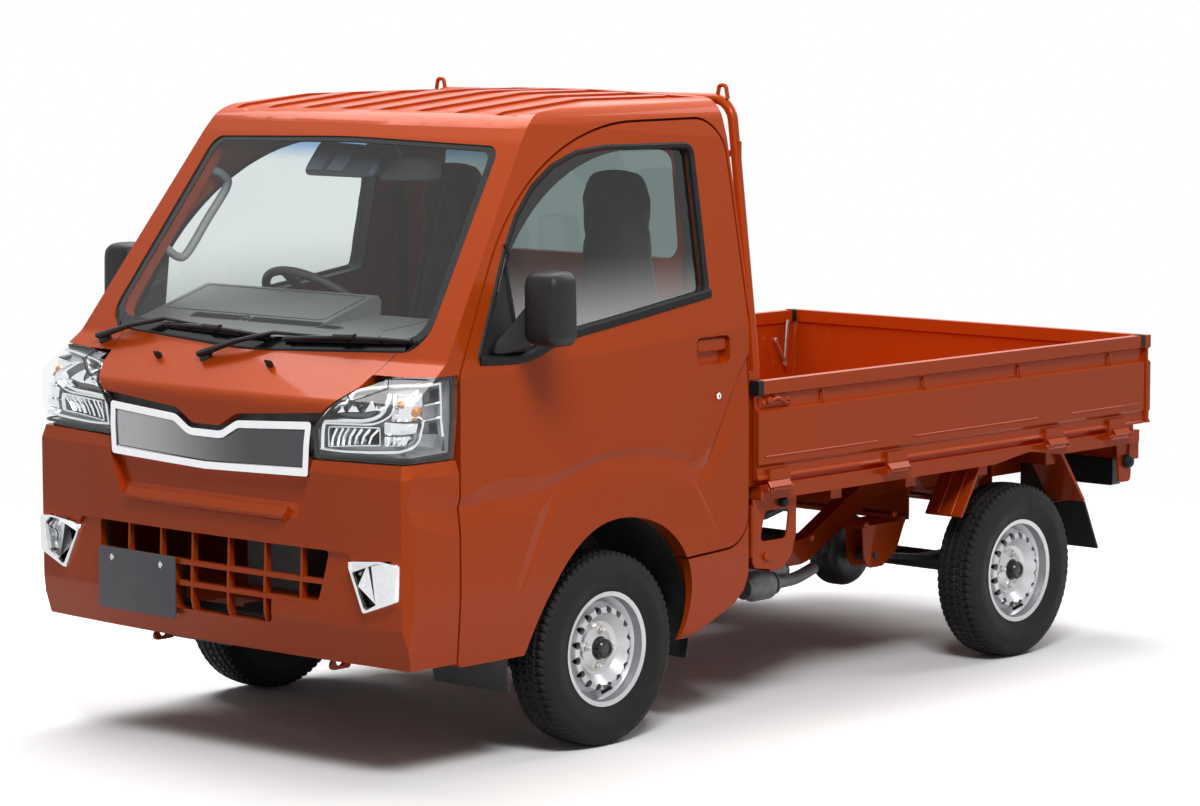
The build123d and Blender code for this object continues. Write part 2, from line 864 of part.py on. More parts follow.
# The spring hanger: two plates under the rail, with the spring's front eye between them.
spring_front_y = rear_axle_y - 480
spring_eye_z = rail_height + 21
eye_bolt_radius = 9
hanger_gap = spring_leaf_width / 2 + 3
hanger_sheet = 6
hanger_top = rail_height + 115
hanger_front = spring_front_y - 60
hanger_rear = spring_front_y + 150
hanger_points = [
    (hanger_front, hanger_top),
    (hanger_rear, hanger_top),
    (spring_front_y + 110, hanger_top - 85),
    (spring_front_y + 40, hanger_top - 130),
    (spring_front_y - 30, hanger_top - 130),
    (spring_front_y - 52, hanger_top - 95),
]
hanger_face = outline(hanger_points, [0, 0, 40, 25, 25, 30])
hanger_inner = along_x(hanger_face, spring_x - hanger_gap - hanger_sheet, spring_x - hanger_gap)
hanger_outer = along_x(hanger_face, spring_x + hanger_gap, spring_x + hanger_gap + hanger_sheet)
hanger_roof = box(
    rail_x + rail_width / 2 - 2,
    spring_x + hanger_gap + hanger_sheet,
    hanger_front,
    hanger_rear,
    hanger_top - 8,
    hanger_top,
)
bolt_reach = hanger_gap + hanger_sheet + 6
front_bolt = rod(
    (spring_x - bolt_reach, spring_front_y, spring_eye_z),
    (spring_x + bolt_reach, spring_front_y, spring_eye_z),
    eye_bolt_radius,
)
hanger = (hanger_inner + hanger_outer + hanger_roof) - front_bolt
rail_left = one_part((rail_left + hanger) - front_carrier - front_bumper)

# ---- bed ----------------------------------------------------------------------------------------
bed_half = half_width - gate_thickness - gate_clearance
bed_rear_y = gate_rear_y - 4
floor_front_y = bed_front_y + headboard_thickness
bed_floor = box(
    -bed_half, bed_half, floor_front_y, bed_rear_y, bed_floor_height - bed_floor_sheet, bed_floor_height
)
floor_groove_count = 8
floor_groove_width = 70
floor_groove_depth = 4
floor_groove_pitch = 2 * bed_half / (floor_groove_count + 1)
groove_length = bed_rear_y - floor_front_y - 160
for index in range(floor_groove_count):
    x = (index - (floor_groove_count - 1) / 2) * floor_groove_pitch
    groove = Plane.XY.offset(bed_floor_height) * Pos(x, (floor_front_y + bed_rear_y) / 2) * SlotOverall(
        groove_length, floor_groove_width, rotation=90
    )
    bed_floor = bed_floor - extrude(groove, -floor_groove_depth, taper=30)
bearer_top = bed_floor_height - bed_floor_sheet
rail_top_rear = rail_height + rail_kick + rail_depth
bearer_count = 6
bearer_span = bed_rear_y - bed_front_y - 130
bearer_places = [bed_front_y + 65 + bearer_span * index / (bearer_count - 1) for index in range(bearer_count)]
bearers = [
    box(-bed_half + 20, bed_half - 20, y - 25, y + 25, rail_top_rear, bearer_top) for y in bearer_places
]
posts = [
    box(x - 22, x + 22, y - 22, y + 22, rail_height + rail_depth, rail_top_rear)
    for y in bearer_places[:2]
    for x in (-rail_x, rail_x)
]
sill_top = bearer_top
sill_low = 616
sill_arch = 24
sill_inset = 12
sill_points = [
    (floor_front_y, sill_top),
    (floor_front_y, sill_low),
    (rear_axle_y - 150, sill_low),
    (rear_axle_y + 30, sill_low + sill_arch),
    (rear_axle_y + 190, sill_low),
    (bed_rear_y, sill_low),
    (bed_rear_y, sill_top),
]
sill_face = outline(sill_points, [0, 6, 160, 190, 160, 6, 0])
side_rail = along_x(sill_face, bed_half - 40, half_width - sill_inset)
bed_floor = bed_floor + bearers + posts + both_sides(side_rail)

headboard = box(
    -bed_half,
    bed_half,
    bed_front_y,
    floor_front_y,
    bed_floor_height - bed_floor_sheet,
    headboard_height,
)
headboard_middle = (bed_floor_height + headboard_height) / 2 + 8
headboard_press = Pos(0, headboard_middle) * RectangleRounded(2 * bed_half - 160, 190, 30)
headboard = headboard - extrude(Plane.XZ.offset(-bed_front_y) * headboard_press, -8, taper=40)
guard_x = 588
guard_tube = 15
guard_top = hook_height - 45
guard_knee = 1000
guard_y = floor_front_y + guard_tube + 2
guard_path = FilletPolyline(
    (-half_width + 50, guard_y, bed_floor_height + 60),
    (-half_width + 52, guard_y, guard_knee),
    (-guard_x - 8, guard_y, guard_top),
    (guard_x + 8, guard_y, guard_top),
    (half_width - 52, guard_y, guard_knee),
    (half_width - 50, guard_y, bed_floor_height + 60),
    radius=[150, 70, 70, 150],
)
guard_frame = sweep(Plane(guard_path @ 0, z_dir=guard_path % 0) * Circle(guard_tube), guard_path)
guard_frame = Part() + guard_frame.solids()
hook_radius = 6
for x in (-guard_x + 24, guard_x - 24):
    hook_path = FilletPolyline(
        (x - 20, guard_y, guard_top),
        (x - 12, guard_y, hook_height - hook_radius),
        (x + 12, guard_y, hook_height - hook_radius),
        (x + 20, guard_y, guard_top),
        radius=10,
    )
    hook = sweep(Plane(hook_path @ 0, z_dir=hook_path % 0) * Circle(hook_radius), hook_path)
    guard_frame = guard_frame + hook
for x in (-half_width + 52, half_width - 52):
    guard_plate = box(x - 15, x + 15, floor_front_y, guard_y, bed_floor_height + 60, bed_floor_height + 300)
    guard_frame = guard_frame + guard_plate

# ---- drop sides: an open top rail, a recess for the rope hooks and a pressed lower panel --------
hinge_x = half_width + 10
hinge_z = hinge_height
rail_cap = 38
channel_depth = 14
channel_low = 84
hook_bar = 8
hook_count = 4


def gate_section(outer, sign, top=gate_top, bottom=bed_floor_height + 3):
    """A gate's profile: outer is the coordinate of its outer face, sign points outwards."""
    inner = outer - sign * gate_thickness
    points = [
        (inner + sign * 8, bottom),
        (inner + sign * 8, top - 42),
        (inner, top - 40),
        (inner, top),
        (outer, top),
        (outer, top - rail_cap),
        (outer - sign * channel_depth, top - rail_cap - 6),
        (outer - sign * channel_depth, top - channel_low + 6),
        (outer, top - channel_low - 4),
        (outer, bottom + 44),
        (outer - sign * 7, bottom + 34),
        (outer - sign * 7, bottom + 12),
        (outer, bottom + 6),
        (outer, bottom),
    ]
    return outline(points)


def rope_hook(place):
    """A U-shaped hook in the gate's channel, at (y, or x on the tailgate)."""
    reach = half_width - 6
    high, low = gate_top - rail_cap - 12, gate_top - channel_low + 4
    bend = 9
    path = FilletPolyline(
        (half_width - channel_depth - 4, place, high),
        (reach, place, high),
        (reach, place, low),
        radius=bend - 3,
    )
    return sweep(Plane(path @ 0, z_dir=path % 0) * Circle(hook_bar / 2), path)


gate_front_y = bed_front_y + 2
side_gate = along_y(gate_section(half_width, 1), gate_front_y, gate_rear_y)
hinge_places = [gate_front_y + 90, gate_front_y + 630, gate_front_y + 1425, gate_rear_y - 150]
for y in hinge_places:
    strap = box(half_width - 2, half_width + 6, y - 45, y + 45, hinge_z - 8, bed_floor_height + 30)
    knuckle = rod((hinge_x, y - 45, hinge_z), (hinge_x, y + 45, hinge_z), hinge_pin_diameter / 2 + 3)
    side_gate = side_gate + strap + knuckle
hook_pitch = (gate_rear_y - gate_front_y) / hook_count
for index in range(hook_count):
    side_gate = side_gate + rope_hook(gate_front_y + hook_pitch * (index + 0.62))
latch_plate = box(
    half_width - channel_depth - 2,
    half_width - channel_depth + 5,
    gate_front_y + 12,
    gate_front_y + 150,
    gate_top - channel_low + 12,
    gate_top - rail_cap - 12,
)
latch_lever = box(
    half_width - channel_depth + 5,
    half_width - 2,
    gate_front_y + 62,
    gate_front_y + 140,
    gate_top - channel_low + 16,
    gate_top - rail_cap - 22,
)
side_gate_left = one_part(side_gate + latch_plate + latch_lever)
gate_brackets = []
for y in hinge_places:
    pin = rod((hinge_x, y - 56, hinge_z), (hinge_x, y - 46, hinge_z), hinge_pin_diameter / 2)
    ear = box(bed_half - 10, hinge_x + 8, y - 56, y - 48, hinge_z - 10, bearer_top - 4)
    gate_brackets += [pin, ear, mirrored(pin), mirrored(ear)]
bed_floor = one_part(bed_floor + gate_brackets)

tailgate = along_x(gate_section(tail_outer, 1), -half_width, half_width)
tail_hinge_y = tail_outer - 1
tail_hinge_z = hinge_z - 4
tail_hinges = [-560, -190, 190, 560]
for x in tail_hinges:
    strap = box(x - 40, x + 40, tail_outer - 10, tail_outer + 2, tail_hinge_z, bed_floor_height + 30)
    knuckle = rod((x - 40, tail_hinge_y, tail_hinge_z), (x + 40, tail_hinge_y, tail_hinge_z), 8)
    tailgate = tailgate + strap + knuckle
tailgate = one_part(tailgate)

beam_rear = tail_hinge_y - 16
rear_beam = box(-half_width + 30, half_width - 30, bed_rear_y - 28, beam_rear, 560, 636)
for x in tail_hinges:
    ear = box(x - 58, x - 44, beam_rear - 12, tail_hinge_y + 6, tail_hinge_z - 30, tail_hinge_z + 6)
    rear_beam = rear_beam + ear
rear_beam = one_part(rear_beam - bed_floor)
rear_lamp_left = box(430, 640, bed_rear_y - 25, beam_rear, 470, 560)

# ---- under the bed ------------------------------------------------------------------------------
fender_in = 565
side_rail_low = bearer_top - 22
fender_out = half_width - 36
front_fender_points = [
    (rear_axle_y - 290, 466),
    (rear_axle_y - 182, side_rail_low),
    (rear_axle_y - 150, side_rail_low),
    (rear_axle_y - 150, 622),
    (rear_axle_y - 178, 618),
    (rear_axle_y - 282, 462),
]
rear_fender_points = [
    (rear_axle_y + 362, 452),
    (rear_axle_y + 226, side_rail_low),
    (rear_axle_y + 200, side_rail_low),
    (rear_axle_y + 200, 622),
    (rear_axle_y + 222, 618),
    (rear_axle_y + 354, 448),
]
front_fender = along_x(outline(front_fender_points), fender_in, fender_out)
rear_fender = along_x(outline(rear_fender_points), fender_in, fender_out)
side_plate_points = [
    (bed_front_y + 22, sill_low + 2),
    (bed_front_y + 22, 420),
    (bed_front_y + 150, 402),
    (bed_front_y + 194, 438),
    (bed_front_y + 216, 500),
    (bed_front_y + 216, sill_low + 2),
]
side_plate_face = outline(side_plate_points, [0, 25, 30, 60, 60, 0])
plate_window_points = [
    (bed_front_y + 52, 492),
    (bed_front_y + 76, 580),
    (bed_front_y + 186, 578),
    (bed_front_y + 172, 492),
]
side_plate = along_x(side_plate_face, half_width - 44, half_width - 38)
plate_hole = along_x(outline(plate_window_points, 16), half_width - 60, half_width)
tail_plate_points = [(tail_y - 140, 635), (tail_y - 120, 490), (tail_y - 60, 490), (tail_y - 50, 635)]
tail_plate = along_x(outline(tail_plate_points, 15), half_width - 44, half_width - 36)
side_plate_arm = box(rail_x + rail_width / 2, half_width - 40, bed_front_y + 100, bed_front_y + 130, 402, 425)
brackets_left = (side_plate - plate_hole) + side_plate_arm
fender_plates = both_sides(Part() + [front_fender, rear_fender, brackets_left, tail_plate])
fender_plates = one_part(fender_plates - bed_floor - rear_beam)
flap_points = [
    (rear_axle_y + 362, 448),
    (rear_axle_y + 354, 446),
    (rear_axle_y + 430, 290),
    (rear_axle_y + 438, 292),
]
mud_flap = along_x(outline(flap_points), fender_in, fender_out)
mud_flaps = one_part(both_sides(mud_flap) - fender_plates)

engine_block = one_part(
    box(-250, 230, cab_rear_y - 640, cab_rear_y - 130, 265, 640)
    + rod((0, cab_rear_y - 140, 360), (0, cab_rear_y + 60, 352), 85)
    + rod((0, cab_rear_y + 50, 348), (0, rear_axle_y - 158, 292), 28)
)

axle_z = wheel_z
axle_tube = rod((-560, rear_axle_y, axle_z), (560, rear_axle_y, axle_z), axle_tube_diameter / 2)
diff = Pos(0, rear_axle_y, axle_z) * Rot(0, 90, 0) * fillet(Cylinder(118, 110).edges(), 40)
pinion = rod((0, rear_axle_y - 151, axle_z + 22), (0, rear_axle_y - 60, axle_z + 12), 44)
drum_left = rod((560, rear_axle_y, axle_z), (612, rear_axle_y, axle_z), 100)
stub_left = rod((600, rear_axle_y, axle_z), (650, rear_axle_y, axle_z), 28)
rear_axle = one_part(axle_tube + diff + pinion + both_sides(drum_left + stub_left))

spring_rear_y = rear_axle_y + 480
leaf_face = make_face(
    Polyline(
        (spring_front_y, 360),
        (rear_axle_y - 200, 320),
        (rear_axle_y + 200, 320),
        (spring_rear_y, 380),
        (spring_rear_y, 362),
        (rear_axle_y + 180, 300),
        (rear_axle_y - 180, 300),
        (spring_front_y, 342),
        close=True,
    )
)
leaf = along_x(leaf_face, spring_x - spring_leaf_width / 2, spring_x + spring_leaf_width / 2)
eye_inner_x = spring_x - spring_leaf_width / 2
eye_outer_x = spring_x + spring_leaf_width / 2
eye_radius = 22
front_eye = rod(
    (eye_inner_x, spring_front_y, spring_eye_z), (eye_outer_x, spring_front_y, spring_eye_z), eye_radius
)
shackle_eye_z = spring_eye_z + 20
rear_eye = rod(
    (eye_inner_x, spring_rear_y, shackle_eye_z), (eye_outer_x, spring_rear_y, shackle_eye_z), eye_radius
)
shackle = box(rail_x + rail_width / 2, spring_x + 28, spring_rear_y - 24, spring_rear_y + 24, 392, 560)
damper = rod((rail_x + 72, rear_axle_y + 24, 286), (rail_x + rail_width / 2 + 21, rear_axle_y + 190, 560), 22)
spring_left = leaf + front_eye + front_bolt + rear_eye + shackle + damper
leaf_springs = one_part(both_sides(spring_left - rail_left) - bed_floor - rear_axle)

# ---- front suspension, knuckles and wheels ------------------------------------------------------
kingpin_x = wheel_x - kingpin_offset
arm_left = Part() + [
    box(rail_x - 20, rail_x + 20, front_axle_y - 120, front_axle_y + 20, 215, rail_height),
    rod((rail_x + 10, front_axle_y, 232), (kingpin_x - 6, front_axle_y, 176), 15),
    rod((rail_x + 10, front_axle_y - 100, 236), (kingpin_x - 20, front_axle_y - 8, 182), 10),
]
strut_tower = rod((500, front_axle_y, 604), (516, front_axle_y, 425), 38)
front_suspension = one_part(both_sides((arm_left + strut_tower) - rail_left) - cab_shell)

knuckle_body = Part() + [
    rod((kingpin_x - 62, front_axle_y, 212), (kingpin_x - 62, front_axle_y, 402), 17),
    rod((kingpin_x - 66, front_axle_y, wheel_z), (kingpin_x - 2, front_axle_y, wheel_z), 46),
    rod((kingpin_x - 4, front_axle_y, wheel_z), (wheel_x + 30, front_axle_y, wheel_z), 19),
    rod((kingpin_x - 62, front_axle_y, 222), (kingpin_x, front_axle_y, 206), 12),
    rod((kingpin_x - 62, front_axle_y, 232), (kingpin_x - 84, front_axle_y + 112, 232), 9),
]
knuckle_left = one_part(knuckle_body)


def rim_shape():
    """A pressed steel wheel on the X axis at the origin, its outer face towards +X."""
    half = rim_width / 2
    bead = bead_diameter / 2
    lip = flange_diameter / 2 - 9
    barrel = [
        (half + 2, lip),
        (half - 4, bead),
        (half - 32, bead),
        (half - 46, bead - 20),
        (-half + 34, bead - 20),
        (-half + 20, bead),
        (-half + 4, bead),
        (-half - 2, lip),
        (-half + 16, bead - 8),
        (-half + 30, bead - 25),
        (half - 44, bead - 25),
        (half - 28, bead - 8),
        (half - 1, bead - 6),
    ]
    disc = [
        (half - 50, bead - 22),
        (half - 12, bead - 38),
        (half - 8, bead - 52),
        (half - 32, bead - 78),
        (half - 36, hub_bore / 2 + 30),
        (half - 26, hub_bore / 2 + 5),
        (half - 40, hub_bore / 2),
        (half - 42, hub_bore / 2 + 42),
        (half - 20, bead - 46),
        (half - 56, bead - 24),
    ]
    shape = Part()
    for points in (barrel, disc):
        face = make_face(Polyline(*points, close=True))
        shape = shape + revolve(Plane.XY * face, Axis.X, 360)
    for index in range(vent_count):
        angle = 360 * (index + 0.5) / vent_count
        place = Rot(angle, 0, 0) * Pos(half - 20, 0, vent_circle / 2) * Rot(0, 90, 0)
        shape = shape - place * Cylinder(vent_diameter / 2, 44)
    return one_part(shape)


def tyre_shape():
    """A tyre on the X axis at the origin, closed at its beads, where the rim seats."""
    half = tyre_width / 2
    tread = tyre_diameter / 2
    bead = bead_diameter / 2
    seat = rim_width / 2 - 6.5
    widest = bead + 53
    outer_edge = half - 17
    ring = [
        (seat, bead),
        (half, widest),
        (outer_edge, tread),
        (-outer_edge, tread),
        (-half, widest),
        (-seat, bead),
    ]
    return revolve(Plane.XY * make_face(Polyline(*ring, close=True)), Axis.X, 360)


rim_outer = rim_shape()
tyre_outer = tyre_shape()

# ---- seats on the floor, exhaust and tank -------------------------------------------------------
exhaust_pipe = one_part(
    rod((470, cab_rear_y + 150, 345), (470, cab_rear_y + 420, 345), 52)
    + rod((470, cab_rear_y + 20, 345), (470, cab_rear_y + 160, 345), 22)
    + rod((470, cab_rear_y + 410, 345), (470, cab_rear_y + 470, 345), 20)
    + rod((rail_x + rail_width / 2, cab_rear_y + 260, 352), (450, cab_rear_y + 260, 352), 7)
)
tank_edge = -rail_x - rail_width / 2
tank_block = box(-640, tank_edge - 30, cab_rear_y + 180, cab_rear_y + 690, 300, 470)
fuel_tank = fillet(tank_block.edges().filter_by(Axis.Y), 35)
for y in (cab_rear_y + 240, cab_rear_y + 600):
    fuel_tank = fuel_tank + box(tank_edge - 40, tank_edge, y, y + 30, 340, 400)

# ---- write every sub-part -----------------------------------------------------------------------
nodes = {
    "cross_tubes": cross_tubes,
    "cab_shell": cab_shell,
    "roof_panel": roof_panel,
    "front_panel": front_panel,
    "front_carrier": front_carrier,
    "front_bumper": front_bumper,
    "front_grille": front_grille,
    "headlamps": both_sides(headlamp_left),
    "fog_lamps": both_sides(fog_lamp_left),
    "windscreen": windscreen,
    "rear_window": rear_window,
    "dashboard": dashboard,
    "steering_column": steering_column,
    "steering_wheel": steering_wheel,
    "seat_cushions": both_sides(cushion_left),
    "seat_backs": both_sides(back_left),
    "interior_mirror": interior_mirror,
    "bed_floor": bed_floor,
    "bed_headboard": headboard,
    "guard_frame": guard_frame,
    "fender_plates": fender_plates,
    "mud_flaps": mud_flaps,
    "rear_beam": rear_beam,
    "rear_lamps": both_sides(rear_lamp_left),
    "engine_block": engine_block,
    "rear_axle": rear_axle,
    "leaf_springs": leaf_springs,
    "front_suspension": front_suspension,
    "exhaust_pipe": exhaust_pipe,
    "fuel_tank": fuel_tank,
    "tailgate": tailgate,
}
for side, flip in (("left", False), ("right", True)):
    pair = {
        "chassis_rail": rail_left,
        "door_panel": door_panel_left,
        "door_glass": door_glass_left,
        "door_mirror": door_mirror_left,
        "side_gate": side_gate_left,
        "knuckle": knuckle_left,
    }
    for name, shape in pair.items():
        nodes[f"{name}_{side}"] = mirrored(shape) if flip else shape
    for end, axle_y in (("front", front_axle_y), ("rear", rear_axle_y)):
        for name, shape in (("tyre", tyre_outer), ("rim", rim_outer)):
            placed = Pos(wheel_x, axle_y, wheel_z) * shape
            nodes[f"{name}_{end}_{side}"] = mirrored(placed) if flip else placed

for name, shape in nodes.items():
    save(name, shape)
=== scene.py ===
"""Looks of a cab-over kei truck with a drop-side bed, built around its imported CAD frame.

Frame: metres, +Z up, the floor at Z = 0, the nose towards -Y, the vehicle's left towards +X.
"""

import math

import bmesh
import bpy
from mathutils import Matrix, Vector
from mathutils.bvhtree import BVHTree


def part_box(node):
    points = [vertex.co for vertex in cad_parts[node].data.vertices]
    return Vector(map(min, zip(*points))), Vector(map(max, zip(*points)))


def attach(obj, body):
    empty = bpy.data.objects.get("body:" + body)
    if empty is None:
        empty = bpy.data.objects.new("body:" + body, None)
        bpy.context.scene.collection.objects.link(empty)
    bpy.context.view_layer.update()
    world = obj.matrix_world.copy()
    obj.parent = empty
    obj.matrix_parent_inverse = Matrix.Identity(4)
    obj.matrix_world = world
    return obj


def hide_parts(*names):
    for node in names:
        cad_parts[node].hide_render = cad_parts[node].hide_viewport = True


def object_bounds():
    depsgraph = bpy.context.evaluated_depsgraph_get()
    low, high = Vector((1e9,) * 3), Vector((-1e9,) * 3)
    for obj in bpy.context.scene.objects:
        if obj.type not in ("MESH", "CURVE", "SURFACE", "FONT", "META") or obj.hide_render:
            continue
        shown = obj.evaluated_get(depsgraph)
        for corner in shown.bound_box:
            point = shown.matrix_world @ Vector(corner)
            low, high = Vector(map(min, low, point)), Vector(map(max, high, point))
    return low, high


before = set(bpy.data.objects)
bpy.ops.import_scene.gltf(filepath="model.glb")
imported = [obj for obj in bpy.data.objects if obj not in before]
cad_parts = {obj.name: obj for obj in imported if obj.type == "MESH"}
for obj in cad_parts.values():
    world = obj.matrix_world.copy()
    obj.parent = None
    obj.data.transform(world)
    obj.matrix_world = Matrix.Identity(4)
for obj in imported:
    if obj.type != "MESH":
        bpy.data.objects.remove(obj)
cad_low, cad_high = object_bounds()

# ---- places, from the frame where it gives them --------------------------------------------------
SIDES = (("left", 1), ("right", -1))
nose_y = cad_low.y
cab_rear_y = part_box("cab_shell")[1].y
half_width = 0.7375
front_axle_y = nose_y + 0.825
rear_axle_y = nose_y + 2.725
wheel_x, wheel_z = 0.652, 0.270


# ---- materials ----------------------------------------------------------------------------------
def fill(tree, node, inputs):
    """Sets or links a node's sockets, by name or number."""
    for key, value in inputs.items():
        if isinstance(value, bpy.types.NodeSocket):
            tree.links.new(value, node.inputs[key])
        else:
            node.inputs[key].default_value = value


def add_node(tree, kind, inputs=None, **settings):
    """A shader node with its settings made and its sockets filled."""
    node = tree.nodes.new("ShaderNode" + kind)
    for key, value in settings.items():
        setattr(node, key, value)
    fill(tree, node, inputs or {})
    return node


def combine(tree, operation, *values):
    """The result of a maths node."""
    return add_node(tree, "Math", dict(enumerate(values)), operation=operation).outputs["Value"]


def object_place(tree):
    """Places in object space, which ride with their piece."""
    return add_node(tree, "TexCoord").outputs["Object"]


def speckle(tree, scale, detail=3.0):
    """Noise over the surface, from 0 to 1."""
    inputs = {"Vector": object_place(tree), "Scale": scale, "Detail": detail, "Roughness": 0.6}
    return add_node(tree, "TexNoise", inputs).outputs["Fac"]


def ramp(tree, source, low, high):
    """A colour that runs from one (factor, colour) stop to another."""
    node = add_node(tree, "ValToRGB", {"Fac": source})
    for element, (position, colour) in zip(node.color_ramp.elements, (low, high)):
        element.position = position
        element.color = (*colour, 1)
    return node.outputs["Color"]


def spread(tree, source, low, high, start=0.3, end=0.7, **settings):
    """A factor from start to end, mapped to values from low to high."""
    inputs = {"Value": source, "From Min": start, "From Max": end, "To Min": low, "To Max": high}
    return add_node(tree, "MapRange", inputs, **settings).outputs["Result"]


def share_along(tree, axis, low, high):
    """How far an object-space place lies from low to high along an axis, from 0 to 1."""
    split = add_node(tree, "SeparateXYZ", {"Vector": object_place(tree)})
    return spread(tree, split.outputs[axis], 0.0, 1.0, low, high, interpolation_type="SMOOTHSTEP")


def bump(tree, source, strength, distance):
    """A normal with a texture's height on it."""
    inputs = {"Height": source, "Strength": strength, "Distance": distance}
    return add_node(tree, "Bump", inputs).outputs["Normal"]


def new_material(name, inputs=None):
    """A material with its node tree and its shader, some of whose sockets are set."""
    material = bpy.data.materials.new(name)
    material.use_nodes = True
    tree = material.node_tree
    shader = tree.nodes["Principled BSDF"]
    fill(tree, shader, inputs or {})
    return material, tree, shader


def surface(name, colour, other, metallic=0.0, roughness=(0.4, 0.5), scale=40.0, coat=0.0, grain=None,
            specular=0.5):
    """A finish whose colour and roughness vary a little over the surface."""
    plain = {"Metallic": metallic, "Specular IOR Level": specular, "Coat Weight": coat,
             "Coat Roughness": 0.05}
    material, tree, shader = new_material(name, plain)
    noise = speckle(tree, scale)
    shades = ramp(tree, noise, (0.3, colour), (0.7, other))
    fill(tree, shader, {"Base Color": shades, "Roughness": spread(tree, noise, *roughness)})
    if grain:
        grain_scale, strength, distance = grain
        fill(tree, shader, {"Normal": bump(tree, speckle(tree, grain_scale), strength, distance)})
    return material


def clear_glass(name, colour, tint, shade=None, painted_reflection=None):
    """Thin glass: see-through, with a gloss on its outer faces that grows at a slant.

    shade is (colour, low z, high z) of a tinted band; painted_reflection is (share, low z, high z) of extra
    gloss that grows towards the bottom, a painted reflection."""
    material, tree, shader = new_material(name)
    tree.nodes.remove(shader)
    light = tuple(c * (1 - tint) for c in colour)
    shades = ramp(tree, speckle(tree, 3.0), (0.3, colour), (0.7, light))
    if shade:
        tone, low, high = shade
        inputs = {"Factor": share_along(tree, "Z", low, high), "A": shades, "B": (*tone, 1)}
        shades = add_node(tree, "Mix", inputs, data_type="RGBA").outputs["Result"]
    amount = add_node(tree, "Fresnel", {"IOR": 1.5}).outputs["Fac"]
    # painted reflection: extra gloss that grows towards the bottom of the glass, beyond what its slant gives
    if painted_reflection:
        extra, low, high = painted_reflection
        amount = combine(tree, "MULTIPLY_ADD", share_along(tree, "Z", high, low), extra, amount)
    outside = combine(tree, "SUBTRACT", 1.0, add_node(tree, "NewGeometry").outputs["Backfacing"])
    clear = add_node(tree, "BsdfTransparent", {"Color": shades}).outputs["BSDF"]
    gloss = add_node(tree, "BsdfGlossy", {"Roughness": 0.0}).outputs["BSDF"]
    mix = add_node(tree, "MixShader", {"Fac": combine(tree, "MULTIPLY", amount, outside), 1: clear, 2: gloss})
    fill(tree, tree.nodes["Material Output"], {"Surface": mix.outputs["Shader"]})
    return material


def body_paint():
    """Orange metallic paint under clear coat, with fine flake in its colour and roughness."""
    plain = {"Metallic": 0.15, "Specular IOR Level": 0.05, "Coat Weight": 0.22, "Coat Roughness": 0.03}
    material, tree, shader = new_material("orange_metallic_paint", plain)
    flake = speckle(tree, 2600.0, 1.0)
    fill(tree, shader, {
        "Base Color": ramp(tree, flake, (0.35, (0.44, 0.050, 0.003)), (0.65, (0.55, 0.072, 0.006))),
        "Roughness": spread(tree, flake, 0.30, 0.38),
        "Normal": bump(tree, speckle(tree, 180.0, 1.0), 0.02, 0.0004),
    })
    return material


def gunmetal_with_painted_reflection():
    """The grille's gunmetal film, with a painted reflection that makes it lighter towards the vehicle's
    right.
    """
    material, tree, shader = new_material("gunmetal_film", {"Metallic": 0.85, "Specular IOR Level": 0.3})
    # painted reflection: the colour runs from light at the vehicle's right to dark towards its left
    across = share_along(tree, "X", -0.38, 0.20)
    fill(tree, shader, {
        "Base Color": ramp(tree, across, (0.0, (0.42, 0.42, 0.43)), (1.0, (0.085, 0.085, 0.092))),
        "Roughness": spread(tree, speckle(tree, 300.0, 1.0), 0.22, 0.26),
    })
    return material


def woven_cloth():
    """Dark seat cloth: two crossing threads and a soft sheen."""
    plain = {"Roughness": 0.85, "Sheen Weight": 0.25, "Specular IOR Level": 0.25}
    material, tree, shader = new_material("woven_seat_cloth", plain)
    thread = {"Vector": object_place(tree), "Scale": 160, "Distortion": 0.6}
    waves = [add_node(tree, "TexWave", thread, bands_direction=axis).outputs["Fac"] for axis in ("X", "Z")]
    weave = combine(tree, "MULTIPLY", *waves)
    fill(tree, shader, {
        "Base Color": ramp(tree, weave, (0.1, (0.040, 0.041, 0.040)), (0.9, (0.075, 0.077, 0.075))),
        "Normal": bump(tree, weave, 0.15, 0.0004),
    })
    return material


paint = body_paint()
gunmetal_painted_reflection = gunmetal_with_painted_reflection()
seat_cloth = woven_cloth()
rubber = surface("black_rubber", (0.008, 0.008, 0.009), (0.013, 0.013, 0.014), roughness=(0.5, 0.65),
                 scale=60, grain=(900, 0.1, 0.0004), specular=0.2)
tyre_rubber = surface("tyre_rubber", (0.010, 0.0095, 0.0095), (0.018, 0.017, 0.016), roughness=(0.55, 0.75),
                      scale=25, grain=(500, 0.25, 0.0008), specular=0.25)
silver_steel = surface("silver_wheel_paint", (0.55, 0.55, 0.57), (0.62, 0.62, 0.64), metallic=0.75,
                       roughness=(0.28, 0.38), scale=120, coat=0.4)
chrome = surface("chrome", (0.82, 0.83, 0.85), (0.88, 0.88, 0.9), metallic=1.0, roughness=(0.05, 0.09),
                 scale=30)
dark_chrome = surface("gunmetal_panel", (0.30, 0.30, 0.31), (0.34, 0.34, 0.35), metallic=0.9,
                      roughness=(0.18, 0.22), scale=3)
satin_chrome = surface("satin_chrome", (0.78, 0.79, 0.81), (0.86, 0.87, 0.89), metallic=0.9,
                       roughness=(0.16, 0.24), scale=60)
black_plastic = surface("black_plastic", (0.010, 0.010, 0.012), (0.016, 0.016, 0.018), roughness=(0.38, 0.5),
                        scale=50, grain=(1400, 0.15, 0.0003), specular=0.3)
grey_plastic = surface("grey_cab_plastic", (0.17, 0.175, 0.175), (0.21, 0.215, 0.215), roughness=(0.5, 0.62),
                       scale=35, grain=(1100, 0.25, 0.0004))
dark_plastic = surface("dark_cab_plastic", (0.045, 0.046, 0.048), (0.06, 0.061, 0.063), roughness=(0.5, 0.62),
                       scale=35, grain=(1100, 0.25, 0.0004))
grip_grey = surface("pale_grip_plastic", (0.42, 0.44, 0.43), (0.48, 0.5, 0.49), roughness=(0.45, 0.55),
                    scale=40, grain=(1200, 0.2, 0.0003))
